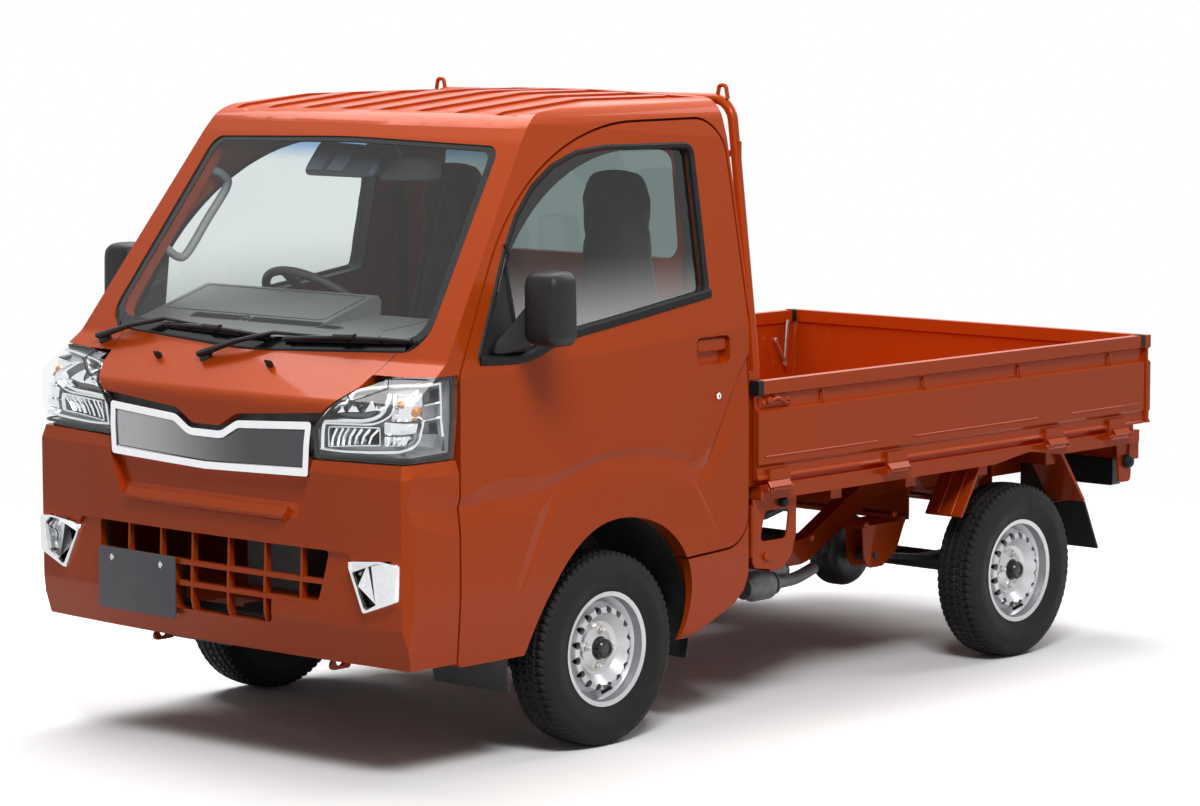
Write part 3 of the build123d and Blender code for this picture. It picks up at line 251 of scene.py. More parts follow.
underbody = surface("black_chassis_paint", (0.014, 0.014, 0.015), (0.03, 0.028, 0.027), roughness=(0.4, 0.7),
                    scale=14, grain=(220, 0.2, 0.0008))
bare_steel = surface("zinc_plated_steel", (0.5, 0.49, 0.46), (0.62, 0.61, 0.58), metallic=0.9,
                     roughness=(0.25, 0.42), scale=90)
cast_metal = surface("cast_metal", (0.12, 0.12, 0.125), (0.2, 0.2, 0.2), metallic=0.7, roughness=(0.45, 0.6),
                     scale=45, grain=(260, 0.3, 0.0008))
plate_grey = surface("grey_plate", (0.085, 0.085, 0.1), (0.095, 0.095, 0.11), roughness=(0.5, 0.6), scale=20)
frosted_grey = surface("frosted_lamp_grey", (0.42, 0.43, 0.45), (0.5, 0.51, 0.53), metallic=0.3,
                       roughness=(0.3, 0.4), scale=30, coat=0.6)
smoked = surface("smoked_lamp_bowl", (0.05, 0.052, 0.056), (0.09, 0.092, 0.1), metallic=0.6,
                 roughness=(0.12, 0.2), scale=30, coat=0.8)
gloss_black = surface("gloss_black_glass_edge", (0.006, 0.006, 0.007), (0.01, 0.01, 0.011),
                      roughness=(0.12, 0.2), scale=50)
amber = surface("amber_bulb", (0.85, 0.28, 0.02), (0.95, 0.38, 0.04), roughness=(0.1, 0.16), scale=60,
                coat=1.0)
red_lens = surface("red_lens", (0.42, 0.008, 0.006), (0.5, 0.014, 0.01), roughness=(0.1, 0.18), scale=80,
                   coat=1.0, grain=(500, 0.15, 0.0006))
mirror_glass = surface("mirror_glass", (0.7, 0.72, 0.73), (0.74, 0.76, 0.77), metallic=1.0,
                       roughness=(0.01, 0.03), scale=8)
screen_glass = clear_glass("windscreen_glass", (0.955, 0.97, 0.965), 0.01,
                           shade=((0.42, 0.6, 0.82), 1.585, 1.66))
# the side glass carries a painted reflection that grows towards its bottom
side_glass = clear_glass("side_glass", (0.90, 0.93, 0.93), 0.01, painted_reflection=(0.42, 1.09, 1.36))
rear_glass = clear_glass("tinted_rear_glass", (0.42, 0.48, 0.47), 0.02)
lens_clear = clear_glass("clear_lens", (0.97, 0.98, 0.985), 0.01)

# the material slot named for the pieces of each finish
slot_of = {
    "body_paint": [paint], "rubber": [rubber], "black_plastic": [black_plastic, gloss_black, smoked],
    "grey_plastic": [grey_plastic, dark_plastic, grip_grey, frosted_grey, plate_grey],
    "bright_trim": [chrome, satin_chrome, dark_chrome, gunmetal_painted_reflection], "raw_steel": [bare_steel, cast_metal],
    "glass": [mirror_glass], "lamp_glass": [lens_clear, amber], "lamp_red": [red_lens],
    "frame_paint": [underbody], "seat_cloth": [seat_cloth], "tyre": [tyre_rubber],
}
slot_of = {material.name: slot for slot, materials in slot_of.items() for material in materials}

# the finishes of the CAD nodes that aren't painted in the body's colour
finishes = [
    (underbody, ["cross_tubes", "front_carrier", "front_suspension", "rear_axle", "leaf_springs",
                 "fuel_tank"]),
    (cast_metal, ["engine_block", "exhaust_pipe", "knuckle_left", "knuckle_right"]),
    (dark_plastic, ["steering_column", "steering_wheel", "seat_cushions", "seat_backs", "interior_mirror"]),
    (grey_plastic, ["dashboard"]),
    (black_plastic, ["door_mirror_left", "door_mirror_right"]),
    (chrome, ["front_grille", "fog_lamps"]),
    (lens_clear, ["headlamps"]),
    (screen_glass, ["windscreen"]),
    (rear_glass, ["rear_window"]),
    (side_glass, ["door_glass_left", "door_glass_right"]),
    (rubber, ["mud_flaps"]),
    (tyre_rubber, [f"tyre_{end}_{side}" for end in ("front", "rear") for side, _ in SIDES]),
    (silver_steel, [f"rim_{end}_{side}" for end in ("front", "rear") for side, _ in SIDES]),
]
finish_of = {node: material for material, nodes in finishes for node in nodes}
for node, cad_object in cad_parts.items():
    cad_object.data.materials.clear()
    cad_object.data.materials.append(finish_of.get(node, paint))


# ---- mesh helpers -------------------------------------------------------------------------------
skins = {}
REACH = 3.0


def skin(nodes):
    """A search tree over the faces of some CAD nodes, for laying trim on them."""
    if nodes not in skins:
        places, faces = [], []
        for node in nodes:
            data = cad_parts[node].data
            first = len(places)
            places += [vertex.co.copy() for vertex in data.vertices]
            faces += [[first + index for index in face.vertices] for face in data.polygons]
        skins[nodes] = BVHTree.FromPolygons(places, faces)
    return skins[nodes]


def lay_on(nodes, ray):
    """A function that lays a 2-D point on CAD surfaces, at a height over them."""
    tree = skin(nodes)

    def lay(point, lift=0.0):
        start, direction = ray(point)
        hit = tree.ray_cast(start, direction)[0]
        if hit is None:
            hit = tree.find_nearest(start + direction * REACH)[0]
        return hit - direction * lift

    return lay


def lay_front(*nodes):
    """Lays (x, z) points on what faces forwards."""
    return lay_on(nodes, lambda p: (Vector((p[0], nose_y - REACH, p[1])), Vector((0, 1, 0))))


def lay_side(sign, *nodes):
    """Lays (y, z) points on what faces to one side."""
    return lay_on(nodes, lambda p: (Vector((sign * (half_width + REACH), p[0], p[1])), Vector((-sign, 0, 0))))


def at_depth(sign=1):
    """Lays (x, z) points at a given y; a sign of -1 mirrors them."""
    return lambda p, y: Vector((sign * p[0], y, p[1]))


def smooth_line(points, steps=6, closed=False):
    """A Catmull-Rom curve through points."""
    places = [Vector(p) for p in points]
    count = len(places)
    line = []
    for index in range(count if closed else count - 1):
        if closed:
            a, b, c, d = (places[(index + k) % count] for k in (-1, 0, 1, 2))
        else:
            a, b, c, d = (places[min(max(index + k, 0), count - 1)] for k in (-1, 0, 1, 2))
        for step in range(steps):
            t = step / steps
            square, cube = (2 * a - 5 * b + 4 * c - d) * t**2, (3 * b - a - 3 * c + d) * t**3
            line.append(0.5 * (2 * b + (c - a) * t + square + cube))
    return line if closed else line + [places[-1]]


def rounded(points, radii, steps=5):
    """A closed 2-D outline with its corners rounded."""
    if not isinstance(radii, (list, tuple)):
        radii = [radii] * len(points)
    line = []
    for index, radius in enumerate(radii):
        before, corner, after = (Vector(points[(index + k) % len(points)]) for k in (-1, 0, 1))
        back, on = (before - corner), (after - corner)
        half = back.angle(on) / 2
        cut = min(radius / math.tan(half), back.length * 0.49, on.length * 0.49)
        start, end = corner + back.normalized() * cut, corner + on.normalized() * cut
        for step in range(steps + 1):
            t = step / steps
            line.append(start.lerp(corner, t).lerp(corner.lerp(end, t), t))
    return line


def rounded_box(x0, y0, x1, y1, radius, steps=4):
    """A rounded rectangle between two corners."""
    return rounded([(x0, y0), (x1, y0), (x1, y1), (x0, y1)], radius, steps)


def arced(points, radii, steps=16):
    """A closed 2-D outline with true arcs at its corners."""
    line = []
    for index, radius in enumerate(radii):
        before, corner, after = (Vector(points[(index + k) % len(points)]) for k in (-1, 0, 1))
        back, on = (before - corner).normalized(), (after - corner).normalized()
        half = back.angle(on) / 2
        centre = corner + (back + on).normalized() * (radius / math.sin(half))
        start, end = corner + back * (radius / math.tan(half)), corner + on * (radius / math.tan(half))
        first = math.atan2(start.y - centre.y, start.x - centre.x)
        sweep = math.atan2(end.y - centre.y, end.x - centre.x) - first
        sweep = (sweep + math.pi) % (2 * math.pi) - math.pi
        for step in range(steps + 1):
            angle = first + sweep * step / steps
            line.append(centre + Vector((math.cos(angle), math.sin(angle))) * radius)
    return line


def dense(points, gap, closed=True):
    """The same line with points no further apart than a gap."""
    line = []
    spans = zip(points, points[1:] + points[:1]) if closed else zip(points, points[1:])
    for start, end in spans:
        start, end = Vector(start), Vector(end)
        parts = max(1, math.ceil((end - start).length / gap))
        line += [start.lerp(end, index / parts) for index in range(parts)]
    return line if closed else line + [Vector(points[-1])]


def scaled(points, factor):
    """An outline drawn towards its centre."""
    places = [Vector(p) for p in points]
    middle = sum(places, Vector((0, 0))) / len(places)
    return [middle + (place - middle) * factor for place in places]


def drawn_in(points, distance):
    """A closed outline moved inwards by an even distance."""
    pairs = zip(points, points[1:] + points[:1])
    turn = 1 if sum(p.x * q.y - p.y * q.x for p, q in pairs) > 0 else -1
    moved = []
    for index, place in enumerate(points):
        along = points[(index + 1) % len(points)] - points[index - 1]
        moved.append(place + Vector((-along.y, along.x)).normalized() * distance * turn)
    return moved


def skin_loops(form, loops, closed=False, wrap=True, caps=(True, True)):
    """Faces between loops of points, with caps on the first and last."""
    made = [[form.verts.new(place) for place in loop] for loop in loops]
    count = len(made[0])
    pairs = list(zip(made, made[1:])) + ([(made[-1], made[0])] if closed else [])
    for low, high in pairs:
        for index in range(count if wrap else count - 1):
            after = (index + 1) % count
            form.faces.new((low[index], low[after], high[after], high[index]))
    if not closed and caps[0]:
        form.faces.new(made[0][::-1])
    if not closed and caps[1]:
        form.faces.new(made[-1])
    return made


def shell(form, lay, layers, caps=(False, True)):
    """Outlines with equal numbers of points, each laid at its own height, joined in turn."""
    skin_loops(form, [[lay(point, lift) for point in points] for points, lift in layers], caps=caps)


def raised(form, lay, outline, steps, caps=(False, True)):
    """Scaled copies of an outline joined in turn: steps are (height, scale) pairs."""
    shell(form, lay, [(scaled(outline, factor), height) for height, factor in steps], caps)


def pad(form, lay, outline, height):
    """A low pad over an outline, with an eased edge, that follows the surface under it."""
    rings = [(height, factor) for factor in (0.97, 0.7, 0.4, 0.12)]
    raised(form, lay, outline, [(-0.002, 1), (height * 0.685, 1), *rings])


def band(form, lay, points, width, low, high, closed=True):
    """A strip of trim along a line on a surface, from one height to another, its edges eased."""
    count = len(points)
    bases = [lay(p, low) for p in points]
    tops = [lay(p, high) for p in points]
    loops = []
    for index in range(count):
        before = bases[index - 1] if closed or index else bases[0]
        after = bases[(index + 1) % count] if closed or index < count - 1 else bases[-1]
        up = (tops[index] - bases[index]).normalized()
        across = (after - before).cross(up).normalized() * (width / 2)
        ease = 0.3 * min(width, high - low)
        low_place, shoulder, crown = bases[index], tops[index] - up * ease, tops[index]
        inner = across * (1 - 2 * ease / width)
        loops.append([low_place - across, shoulder - across, crown - inner,
                      crown + inner, shoulder + across, low_place + across])
    skin_loops(form, loops, closed=closed)


def strip(form, lay, points, width, low, high, gap=0.03):
    """An open band along a line, its points close enough to follow the surface."""
    band(form, lay, dense(points, gap, closed=False), width, low, high, closed=False)


def tube(form, points, radius, sides=12, closed=False, flat=1.0):
    """A round bar along a line; radius may be one value or one for each point."""
    count = len(points)
    places = [Vector(p) for p in points]
    radii = radius if isinstance(radius, (list, tuple)) else [radius] * count
    turn = [2 * math.pi * step / sides for step in range(sides)]
    loops = []
    normal = None
    for index, place in enumerate(places):
        before = places[index - 1] if closed or index else place
        after = places[(index + 1) % count] if closed or index < count - 1 else place
        along = (after - before).normalized()
        if normal is None:
            upright = Vector((0, 0, 1)) if abs(along.z) < 0.9 else Vector((1, 0, 0))
            normal = along.cross(upright).normalized()
        normal = (normal - along * normal.dot(along)).normalized()
        side = along.cross(normal)
        loops.append([place + (normal * math.cos(a) + side * math.sin(a) * flat) * radii[index]
                      for a in turn])
    skin_loops(form, loops, closed=closed)


def lathe(form, centre, axis, profile, sides=32, caps=(True, True)):
    """A turned form: profile is (distance along the axis, radius) pairs."""
    axis = Vector(axis).normalized()
    first = axis.orthogonal().normalized()
    second = axis.cross(first)
    turn = [2 * math.pi * step / sides for step in range(sides)]
    rim = [first * math.cos(angle) + second * math.sin(angle) for angle in turn]
    loops = [[Vector(centre) + axis * along + out * radius for out in rim] for along, radius in profile]
    skin_loops(form, loops, caps=caps)


def studs(form, places, axis, profile, sides=6):
    """The same turned form at several places on both sides of the vehicle."""
    for sign in (1, -1):
        for x, y, z in places:
            lathe(form, (sign * x, y, z), (sign * axis[0], axis[1], axis[2]), profile, sides)


def block(form, low, high, ease=0.002):
    """A block between corners, its upright edges and rims eased."""
    (x0, y0, z0), (x1, y1, z1) = low, high
    face = rounded_box(x0, y0, x1, y1, ease * 2, 3)
    drawn = 1 - 2 * ease / max(min(x1 - x0, y1 - y0), 4 * ease)
    rise = [(z0, drawn), (z0 + ease, 1), (z1 - ease, 1), (z1, drawn)]
    raised(form, lambda p, z: Vector((p.x, p.y, z)), face, rise, caps=(True, True))


def show(name, data, body, slot, replaces=(), levels=0):
    """A mesh shown as a piece that rides on a body."""
    piece = bpy.data.objects.new(name, data)
    bpy.context.scene.collection.objects.link(piece)
    if levels:
        finer = piece.modifiers.new("finer", "SUBSURF")
        finer.levels = finer.render_levels = levels
    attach(piece, body)
    if replaces:
        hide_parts(*replaces)
    return piece


def finished_mesh(name, form, material, sharp):
    """A bmesh turned into a smooth mesh with one finish, its edges sharp past an angle."""
    bmesh.ops.recalc_face_normals(form, faces=form.faces)
    data = bpy.data.meshes.new(name)
    form.to_mesh(data)
    form.free()
    data.polygons.foreach_set("use_smooth", [True] * len(data.polygons))
    data.set_sharp_from_angle(angle=math.radians(sharp))
    data.materials.append(material)
    return data


def add_piece(name, form, material, body="root", sharp=40, levels=0, replaces=(), slot=None):
    """A bmesh made into a piece that rides on a body."""
    data = finished_mesh(name, form, material, sharp)
    return show(name, data, body, slot or slot_of[material.name], replaces, levels)


# ---- windscreen ---------------------------------------------------------------------------------
screen_top_z = 1.650
screen_half_top, screen_half_low = 0.566, 0.637
screen_corners = [(-screen_half_low, 1.124), (0, 1.096), (screen_half_low, 1.124),
                  (screen_half_top, screen_top_z), (0, screen_top_z + 0.014),
                  (-screen_half_top, screen_top_z)]
screen_radii = [0.07, 2.5, 0.07, 0.045, 4.0, 0.045]


def build_windscreen_trim():
    """The rubber round the glass and the black border printed on it."""
    lay = lay_front("windscreen")
    edge = dense(rounded(screen_corners, screen_radii), 0.03)
    form = bmesh.new()
    band(form, lay, scaled(edge, 0.996), 0.009, -0.003, 0.004)
    add_piece("windscreen_rubber", form, rubber)
    edge = scaled(edge, 0.992)
    middle_z, low_z = 1.38, 1.3
    inner = []
    for p in edge:
        drawn = 0.88 if p.y < low_z else 0.955
        inner.append(Vector((p.x * 0.962, middle_z + (p.y - middle_z) * drawn)))
    form = bmesh.new()
    shell(form, lay, [(edge, 0.0004), (edge, 0.0012), (inner, 0.0012), (inner, 0.0004)], caps=(False, False))
    add_piece("windscreen_border", form, gloss_black)


def build_wiper(name, pivot, elbow, low, high, clip):
    """A wiper: a pivot cap, a tapered arm and a sprung blade, from low to high, that rests on the glass."""
    pivot, elbow, low, high, clip = (Vector(place) for place in (pivot, elbow, low, high, clip))
    out = Vector((0, -0.75, 0.66)).normalized()

    def on_blade(share, height):
        return low.lerp(high, share) + out * height

    def spine_height(share):
        return 0.010 + 0.010 * math.sin(math.pi * share)

    form = bmesh.new()
    lathe(form, pivot - out * 0.012, out, [(0, 0.020), (0.010, 0.0205), (0.022, 0.017), (0.028, 0.009)], 20)
    start = pivot + out * 0.012
    side = (elbow - start).normalized()
    arm = [start - side * 0.012, start + side * 0.02, start.lerp(elbow, 0.5), elbow, elbow.lerp(clip, 0.5),
           clip]
    lift = [0.006, 0.008, 0.017, 0.012, 0.010, 0.006]
    arm = [place + out * height for place, height in zip(arm, lift)]
    tube(form, arm, [0.015, 0.016, 0.012, 0.010, 0.0075, 0.007], sides=8, flat=0.6)
    spine = [on_blade(share, spine_height(share)) for share in (0, 0.2, 0.4, 0.6, 0.8, 1)]
    tube(form, smooth_line(spine, 3), 0.0075, sides=8, flat=0.8)
    tube(form, [on_blade(share, 0.004) for share in (-0.03, 0.25, 0.5, 0.75, 1.03)], 0.0055, sides=6)
    for share in (0.02, 0.24, 0.5, 0.76, 0.98):
        tube(form, [on_blade(share, 0.003), on_blade(share, spine_height(share) + 0.003)], 0.008, sides=8)
    tube(form, [on_blade(share, 0.024) for share in (0.42, 0.5, 0.58)], 0.011, sides=8, flat=0.8)
    add_piece(name, form, black_plastic)


def build_washers():
    """Two small nozzles on the nose panel."""
    lean = 0.55
    form = bmesh.new()
    for foot in ((-0.302, 1.062), (0.146, 1.066)):
        place = lay_front("front_panel")(foot)
        loops = []
        for height, half_x, half_z in ((-0.003, 0.011, 0.015), (0.006, 0.011, 0.014), (0.014, 0.008, 0.009)):
            rim = rounded_box(-half_x, -half_z, half_x, half_z, 0.004, 3)
            loops.append([place + Vector((p.x, -height - p.y * lean, p.y + height * lean)) for p in rim])
        skin_loops(form, loops)
    add_piece("washer_nozzles", form, black_plastic)


def build_seam_shade_lines():
    """Painted shade: thin black lines where the nose panel meets the cab's corners, standing in for the shade
    in the joints.
    """
    lay = lay_front("front_panel", "cab_shell")
    form = bmesh.new()
    for sign in (1, -1):
        line = [(sign * 0.466, 0.993), (sign * 0.512, 1.036), (sign * 0.546, 1.118)]
        # painted shade: a thin black strip along each joint
        strip(form, lay, line, 0.0026, -0.001, 0.0006, gap=0.02)
    add_piece("nose_seams", form, gloss_black)


build_seam_shade_lines()
build_windscreen_trim()
build_wiper("wiper_right", (-0.590, -1.540, 1.090), (-0.372, -1.498, 1.150),
            (-0.364, -1.503, 1.136), (0.055, -1.517, 1.130), (-0.168, -1.507, 1.142))
build_wiper("wiper_left", (-0.122, -1.580, 1.072), (0.090, -1.512, 1.140),
            (0.140, -1.522, 1.128), (0.585, -1.486, 1.146), (0.352, -1.506, 1.143))
build_washers()


# ---- headlamps ----------------------------------------------------------------------------------
LAMP_AXIS = (0.42, -1.42)
LAMP_FLAT = 6  # millimetres of height that count as one degree round the nose corner
lens_edge = [(-2.5, 850), (-2, 924), (4, 956), (11, 986), (21, 1026), (38, 1058), (77.5, 1069), (77.5, 866)]


def lay_lamp(sign):
    """Lays (degrees round the nose corner, z in millimetres) points on a headlamp's lens."""
    tree = skin(("headlamps",))

    def lay(point, lift=0.0):
        angle = math.radians(point[0])
        away = Vector((sign * math.sin(angle), -math.cos(angle), 0))
        axis = Vector((sign * LAMP_AXIS[0], LAMP_AXIS[1], point[1] / 1000))
        hit = tree.ray_cast(axis + away * REACH, -away)[0]
        if hit is None:
            hit = tree.find_nearest(axis + away * 0.28)[0]
        return hit + away * lift

    return lay


def lamp_line(points, radius=None, closed=False):
    """A line in lamp places, close enough to follow the lens; with a radius, a closed rounded outline."""
    flat = [(angle, z / LAMP_FLAT) for angle, z in points]
    line = dense(flat, 3.0, closed) if radius is None else dense(rounded(flat, radius, 4), 3.0)
    return [Vector((p.x, p.y * LAMP_FLAT)) for p in line]


def build_headlamp(side, sign):
    """Reflectors, chambers, ribs and bulbs behind the clear lens."""
    lay = lay_lamp(sign)
    edge = lamp_line(lens_edge, 1.2)

    def pocket(corners, radius, *steps):
        raised(form, lay, lamp_line(corners, radius), steps)

    def bar(line, width, low, high):
        band(form, lay, line, width, low, high, closed=False)

    form = bmesh.new()
    raised(form, lay, edge, [(-0.012, 0.97), (-0.034, 0.95), (-0.036, 0.5)])
    add_piece(f"headlamp_back_{side}", form, frosted_grey)

    form = bmesh.new()
    band(form, lay, scaled(edge, 0.975), 0.007, -0.010, -0.0015)
    add_piece(f"headlamp_seal_{side}", form, rubber)

    upper = [(7, 957), (9, 982), (18, 1008), (28, 1022), (45, 1028), (44, 985), (36, 964)]
    ribbed = [(8, 932), (42, 942), (42, 896), (7, 879)]
    form = bmesh.new()
    pocket(upper, 1.5, (-0.010, 1), (-0.030, 0.93), (-0.033, 0.5))
    pocket(ribbed, 0.8, (-0.012, 1), (-0.031, 0.95), (-0.033, 0.5))
    for corners in ([(60, 1035), (69, 1042), (69, 1010), (61, 1006)],
                    [(59, 956), (68, 954), (69, 922), (59, 928)]):
        pocket(corners, 0.4, (-0.012, 1), (-0.028, 0.9), (-0.029, 0.3))
    add_piece(f"headlamp_chambers_{side}", form, smoked)

    form = bmesh.new()
    bar(smooth_line([(3.5, 947), (20, 952), (34, 957), (42, 974), (45.5, 1003), (47, 1026)], 5),
        0.010, -0.030, -0.0075)
    bar(smooth_line([(3.5, 940), (22, 944), (38, 950), (46, 972), (48.5, 1000), (49.5, 1027)], 5),
        0.006, -0.030, -0.010)
    bar(smooth_line([(4, 958), (8, 985), (17, 1012), (28, 1029), (45, 1040), (60, 1050), (69.5, 1056)], 4),
        0.010, -0.028, -0.0065)
    bar(lamp_line([(70, 1057), (70.5, 1000), (70.5, 960), (72, 915)]), 0.007, -0.028, -0.0075)
    bar(smooth_line([(0, 872), (20, 870), (40, 876), (53, 888), (58, 910), (59.5, 940), (60.5, 965)], 4),
        0.008, -0.028, -0.008)
    bar(lamp_line([(1.5, 872), (2.5, 905), (4.0, 945)]), 0.012, -0.028, -0.008)
    band(form, lay, lamp_line(ribbed, 0.8), 0.0035, -0.030, -0.0105)
    for z in (1001, 962):
        bar(lamp_line([(61, z), (70, z + 3)]), 0.005, -0.028, -0.010)
    add_piece(f"headlamp_frame_{side}", form, satin_chrome)

    form = bmesh.new()
    for index in range(7):
        low = 8.5 + index * 4.6
        rib = [(low, 884 + index * 2), (low + 1.6, 905 + index * 2), (low + 5.2, 931 + index)]
        bar(lamp_line(rib), 0.0075, -0.031, -0.014 - 0.002 * (index % 2))
    pocket([(48.5, 1023), (60, 1032), (60, 966), (47, 962)], 0.6, (-0.011, 1), (-0.028, 0.86), (-0.030, 0.4))
    pocket([(44, 958), (58, 958), (57, 932), (44, 926)], 0.8, (-0.012, 1), (-0.026, 0.8), (-0.024, 0.3))
    pocket([(44, 921), (56, 926), (53, 901), (44, 894)], 0.6, (-0.011, 1), (-0.024, 0.85), (-0.026, 0.3))
    for step in range(4):
        turn = 45.5 + step * 2.4
        bar(lamp_line([(turn, 898 + step * 2), (turn + 1, 921)]), 0.0035, -0.026, -0.013)
    for facet in ([(12, 966), (20, 972), (16, 1000)], [(20, 972), (31, 975), (25, 1004)],
                  [(32, 974), (41, 984), (37, 1016)]):
        raised(form, lay, lamp_line(facet, closed=True), [(-0.030, 1), (-0.019, 0.75), (-0.017, 0.2)])
    add_piece(f"headlamp_reflectors_{side}", form, chrome, sharp=15)

    def bulb(place, depth, sink, profile, sides):
        away = (lay(place, 0) - lay(place, depth)).normalized()
        lathe(form, lay(place, depth) - away * sink, away, profile, sides)

    form = bmesh.new()
    for place, size in (((51.5, 1004), 0.0115), ((57.5, 985), 0.013)):
        profile = [(0, 0.8), (0.004, 1), (0.010, 0.9), (0.015, 0.55), (0.017, 0.15)]
        bulb(place, -0.022, 0.006, [(along, size * share) for along, share in profile], 20)
    add_piece(f"headlamp_amber_{side}", form, amber)

    form = bmesh.new()
    bulb((24, 990), -0.026, 0.004, [(0, 0.019), (0.006, 0.019), (0.012, 0.014), (0.016, 0.006)], 24)
    add_piece(f"headlamp_projector_{side}", form, lens_clear)


# ---- bright bar, fog lamps and plate ------------------------------------------------------------
def build_grille_panel():
    """The gunmetal panel inside the bright bar, and the dark lines round it."""
    half = [(0, 0.871), (0.068, 0.871), (0.128, 0.905), (0.379, 0.918), (0.371, 0.820), (0, 0.808)]
    radii = [0, 0.06, 0.06, 0.006, 0.006, 0]
    points = half + [(-x, z) for x, z in reversed(half[1:-1])]
    edge = dense(rounded(points, radii + radii[-2:0:-1], 4), 0.03)
    lay = lay_front("front_grille")
    middle_z = 0.862
    middle = [Vector((p.x * 0.96, middle_z + (p.y - middle_z) * 0.6)) for p in edge]
    line = [Vector((p.x * 0.9, middle_z)) for p in edge]
    form = bmesh.new()
    shell(form, lay, [(edge, -0.001), (edge, 0.003), (middle, 0.0045), (line, 0.005)], caps=(False, False))
    add_piece("grille_panel", form, gunmetal_painted_reflection, sharp=60)
    form = bmesh.new()
    band(form, lay, edge, 0.004, -0.001, 0.0035)
    add_piece("grille_panel_line", form, gloss_black)


def build_fog_lamp(side, sign):
    """A bright bezel round a bowl with a small clear lamp."""
    lay = lay_front("front_bumper")

    def lamp_shape(radius, steps, *corners):
        return rounded([(sign * x, z) for x, z in corners], radius, steps)

    outer = lamp_shape(0.012, 5, (0.533, 0.584), (0.716, 0.597), (0.713, 0.494), (0.597, 0.453))
    inner = lamp_shape(0.010, 5, (0.552, 0.566), (0.675, 0.574), (0.676, 0.503), (0.605, 0.474))
    bottom = lamp_shape(0.012, 5, (0.585, 0.558), (0.665, 0.562), (0.664, 0.512), (0.620, 0.494))
    dish = lamp_shape(0.014, 6, (0.612, 0.563), (0.672, 0.566), (0.672, 0.508), (0.628, 0.492))
    shade = lamp_shape(0.006, 5, (0.557, 0.562), (0.609, 0.563), (0.624, 0.496), (0.602, 0.480))
    form = bmesh.new()
    shell(form, lay, [(scaled(outer, 0.99), -0.004), (outer, 0.010), (scaled(outer, 0.97), 0.015),
                      (scaled(inner, 1.03), 0.014), (inner, 0.010), (scaled(inner, 0.97), -0.002)],
          caps=(False, False))
    stood_for = ("fog_lamps",) if side == "left" else ()
    add_piece(f"fog_lamp_bezel_{side}", form, satin_chrome, sharp=30, replaces=stood_for)
    form = bmesh.new()
    shell(form, lay, [(scaled(inner, 0.99), 0.004), (bottom, -0.022), (scaled(bottom, 0.5), -0.024)])
    add_piece(f"fog_lamp_bowl_{side}", form, dark_chrome, sharp=50)
    form = bmesh.new()
    raised(form, lay, dish, [(0.004, 1), (-0.010, 0.9), (-0.017, 0.5), (-0.018, 0.2)])
    add_piece(f"fog_lamp_dish_{side}", form, satin_chrome, sharp=60)
    form = bmesh.new()
    raised(form, lay, shade, [(0.0045, 1), (-0.012, 0.9), (-0.014, 0.5)])
    add_piece(f"fog_lamp_shade_{side}", form, gloss_black)
    place, forwards = lay((sign * 0.646, 0.537), -0.014), (0, -1, 0)
    form = bmesh.new()
    lathe(form, place, forwards, [(0, 0.020), (0.010, 0.020), (0.016, 0.016), (0.019, 0.007)], 24)
    add_piece(f"fog_lamp_lens_{side}", form, lens_clear)
    form = bmesh.new()
    lathe(form, place, forwards, [(0, 0.017), (0.003, 0.017), (0.004, 0.009), (0.011, 0.007), (0.013, 0.003)],
          20)
    add_piece(f"fog_lamp_bulb_{side}", form, satin_chrome)


def build_front_plate():
    """A blank grey plate with its bracket and two bolts."""
    (left, low), (right, high) = (-0.453, 0.363), (-0.122, 0.534)
    tilt, bolt_gap = 0.033, 0.105
    face_y = nose_y - 0.004

    def lay(point, lift=0.0):
        return Vector((point[0], face_y - (point[0] - right) * tilt - lift, point[1]))

    form = bmesh.new()
    raised(form, lay, rounded_box(left, low, right, high, 0.009, 5),
           [(-0.002, 1), (0.001, 1), (0.002, 0.985)], caps=(True, True))
    add_piece("front_plate", form, plate_grey)
    form = bmesh.new()
    block(form, (left + 0.04, face_y + 0.014, low + 0.03), (right - 0.04, face_y + 0.026, high - 0.02))
    add_piece("front_plate_bracket", form, black_plastic)
    form = bmesh.new()
    for x in (-0.287 - bolt_gap, -0.287 + bolt_gap):
        lathe(form, lay((x, 0.506), 0.001), (0, -1, 0), [(0, 0.007), (0.0015, 0.0075), (0.004, 0.006)], 6)
        lathe(form, lay((x, 0.506), 0.001), (0, -1, 0), [(0, 0.010), (0.001, 0.010)], 20)
    add_piece("front_plate_bolts", form, bare_steel)


def build_bumper_ledge():
    """The bright lip on the bumper's ledge, which catches the light from above."""
    lay = lay_front("front_bumper")
    reach = [step * 0.02 for step in range(-16, 17)]
    loops = []
    for z, lift in ((0.712, -0.004), (0.711, 0.001), (0.688, 0.0135), (0.680, 0.0125), (0.668, -0.004)):
        drawn = 0.985 if z < 0.7 else 1.0
        loops.append([Vector((x * drawn, lay((x * 0.98, 0.655), lift).y, z)) for x in reach])
    form = bmesh.new()
    rows = skin_loops(form, loops, wrap=False, caps=(False, False))
    for index in (0, -1):
        form.faces.new([row[index] for row in rows])
    add_piece("bumper_ledge", form, paint, sharp=25)


build_grille_panel()
build_bumper_ledge()
for side, sign in SIDES:
    build_headlamp(side, sign)
    build_fog_lamp(side, sign)
build_front_plate()


# ---- door windows, mirrors and locks ------------------------------------------------------------
window_corners = [(-1.3855, 1.103), (-1.2095, 1.103), (-1.0575, 1.145), (-0.4655, 1.224), (-0.4505, 1.630),
                  (-1.0955, 1.630)]
window_radii = [0.012, 0.12, 0.4, 0.035, 0.03, 0.695]
window_middle = Vector((-0.85, 1.38))


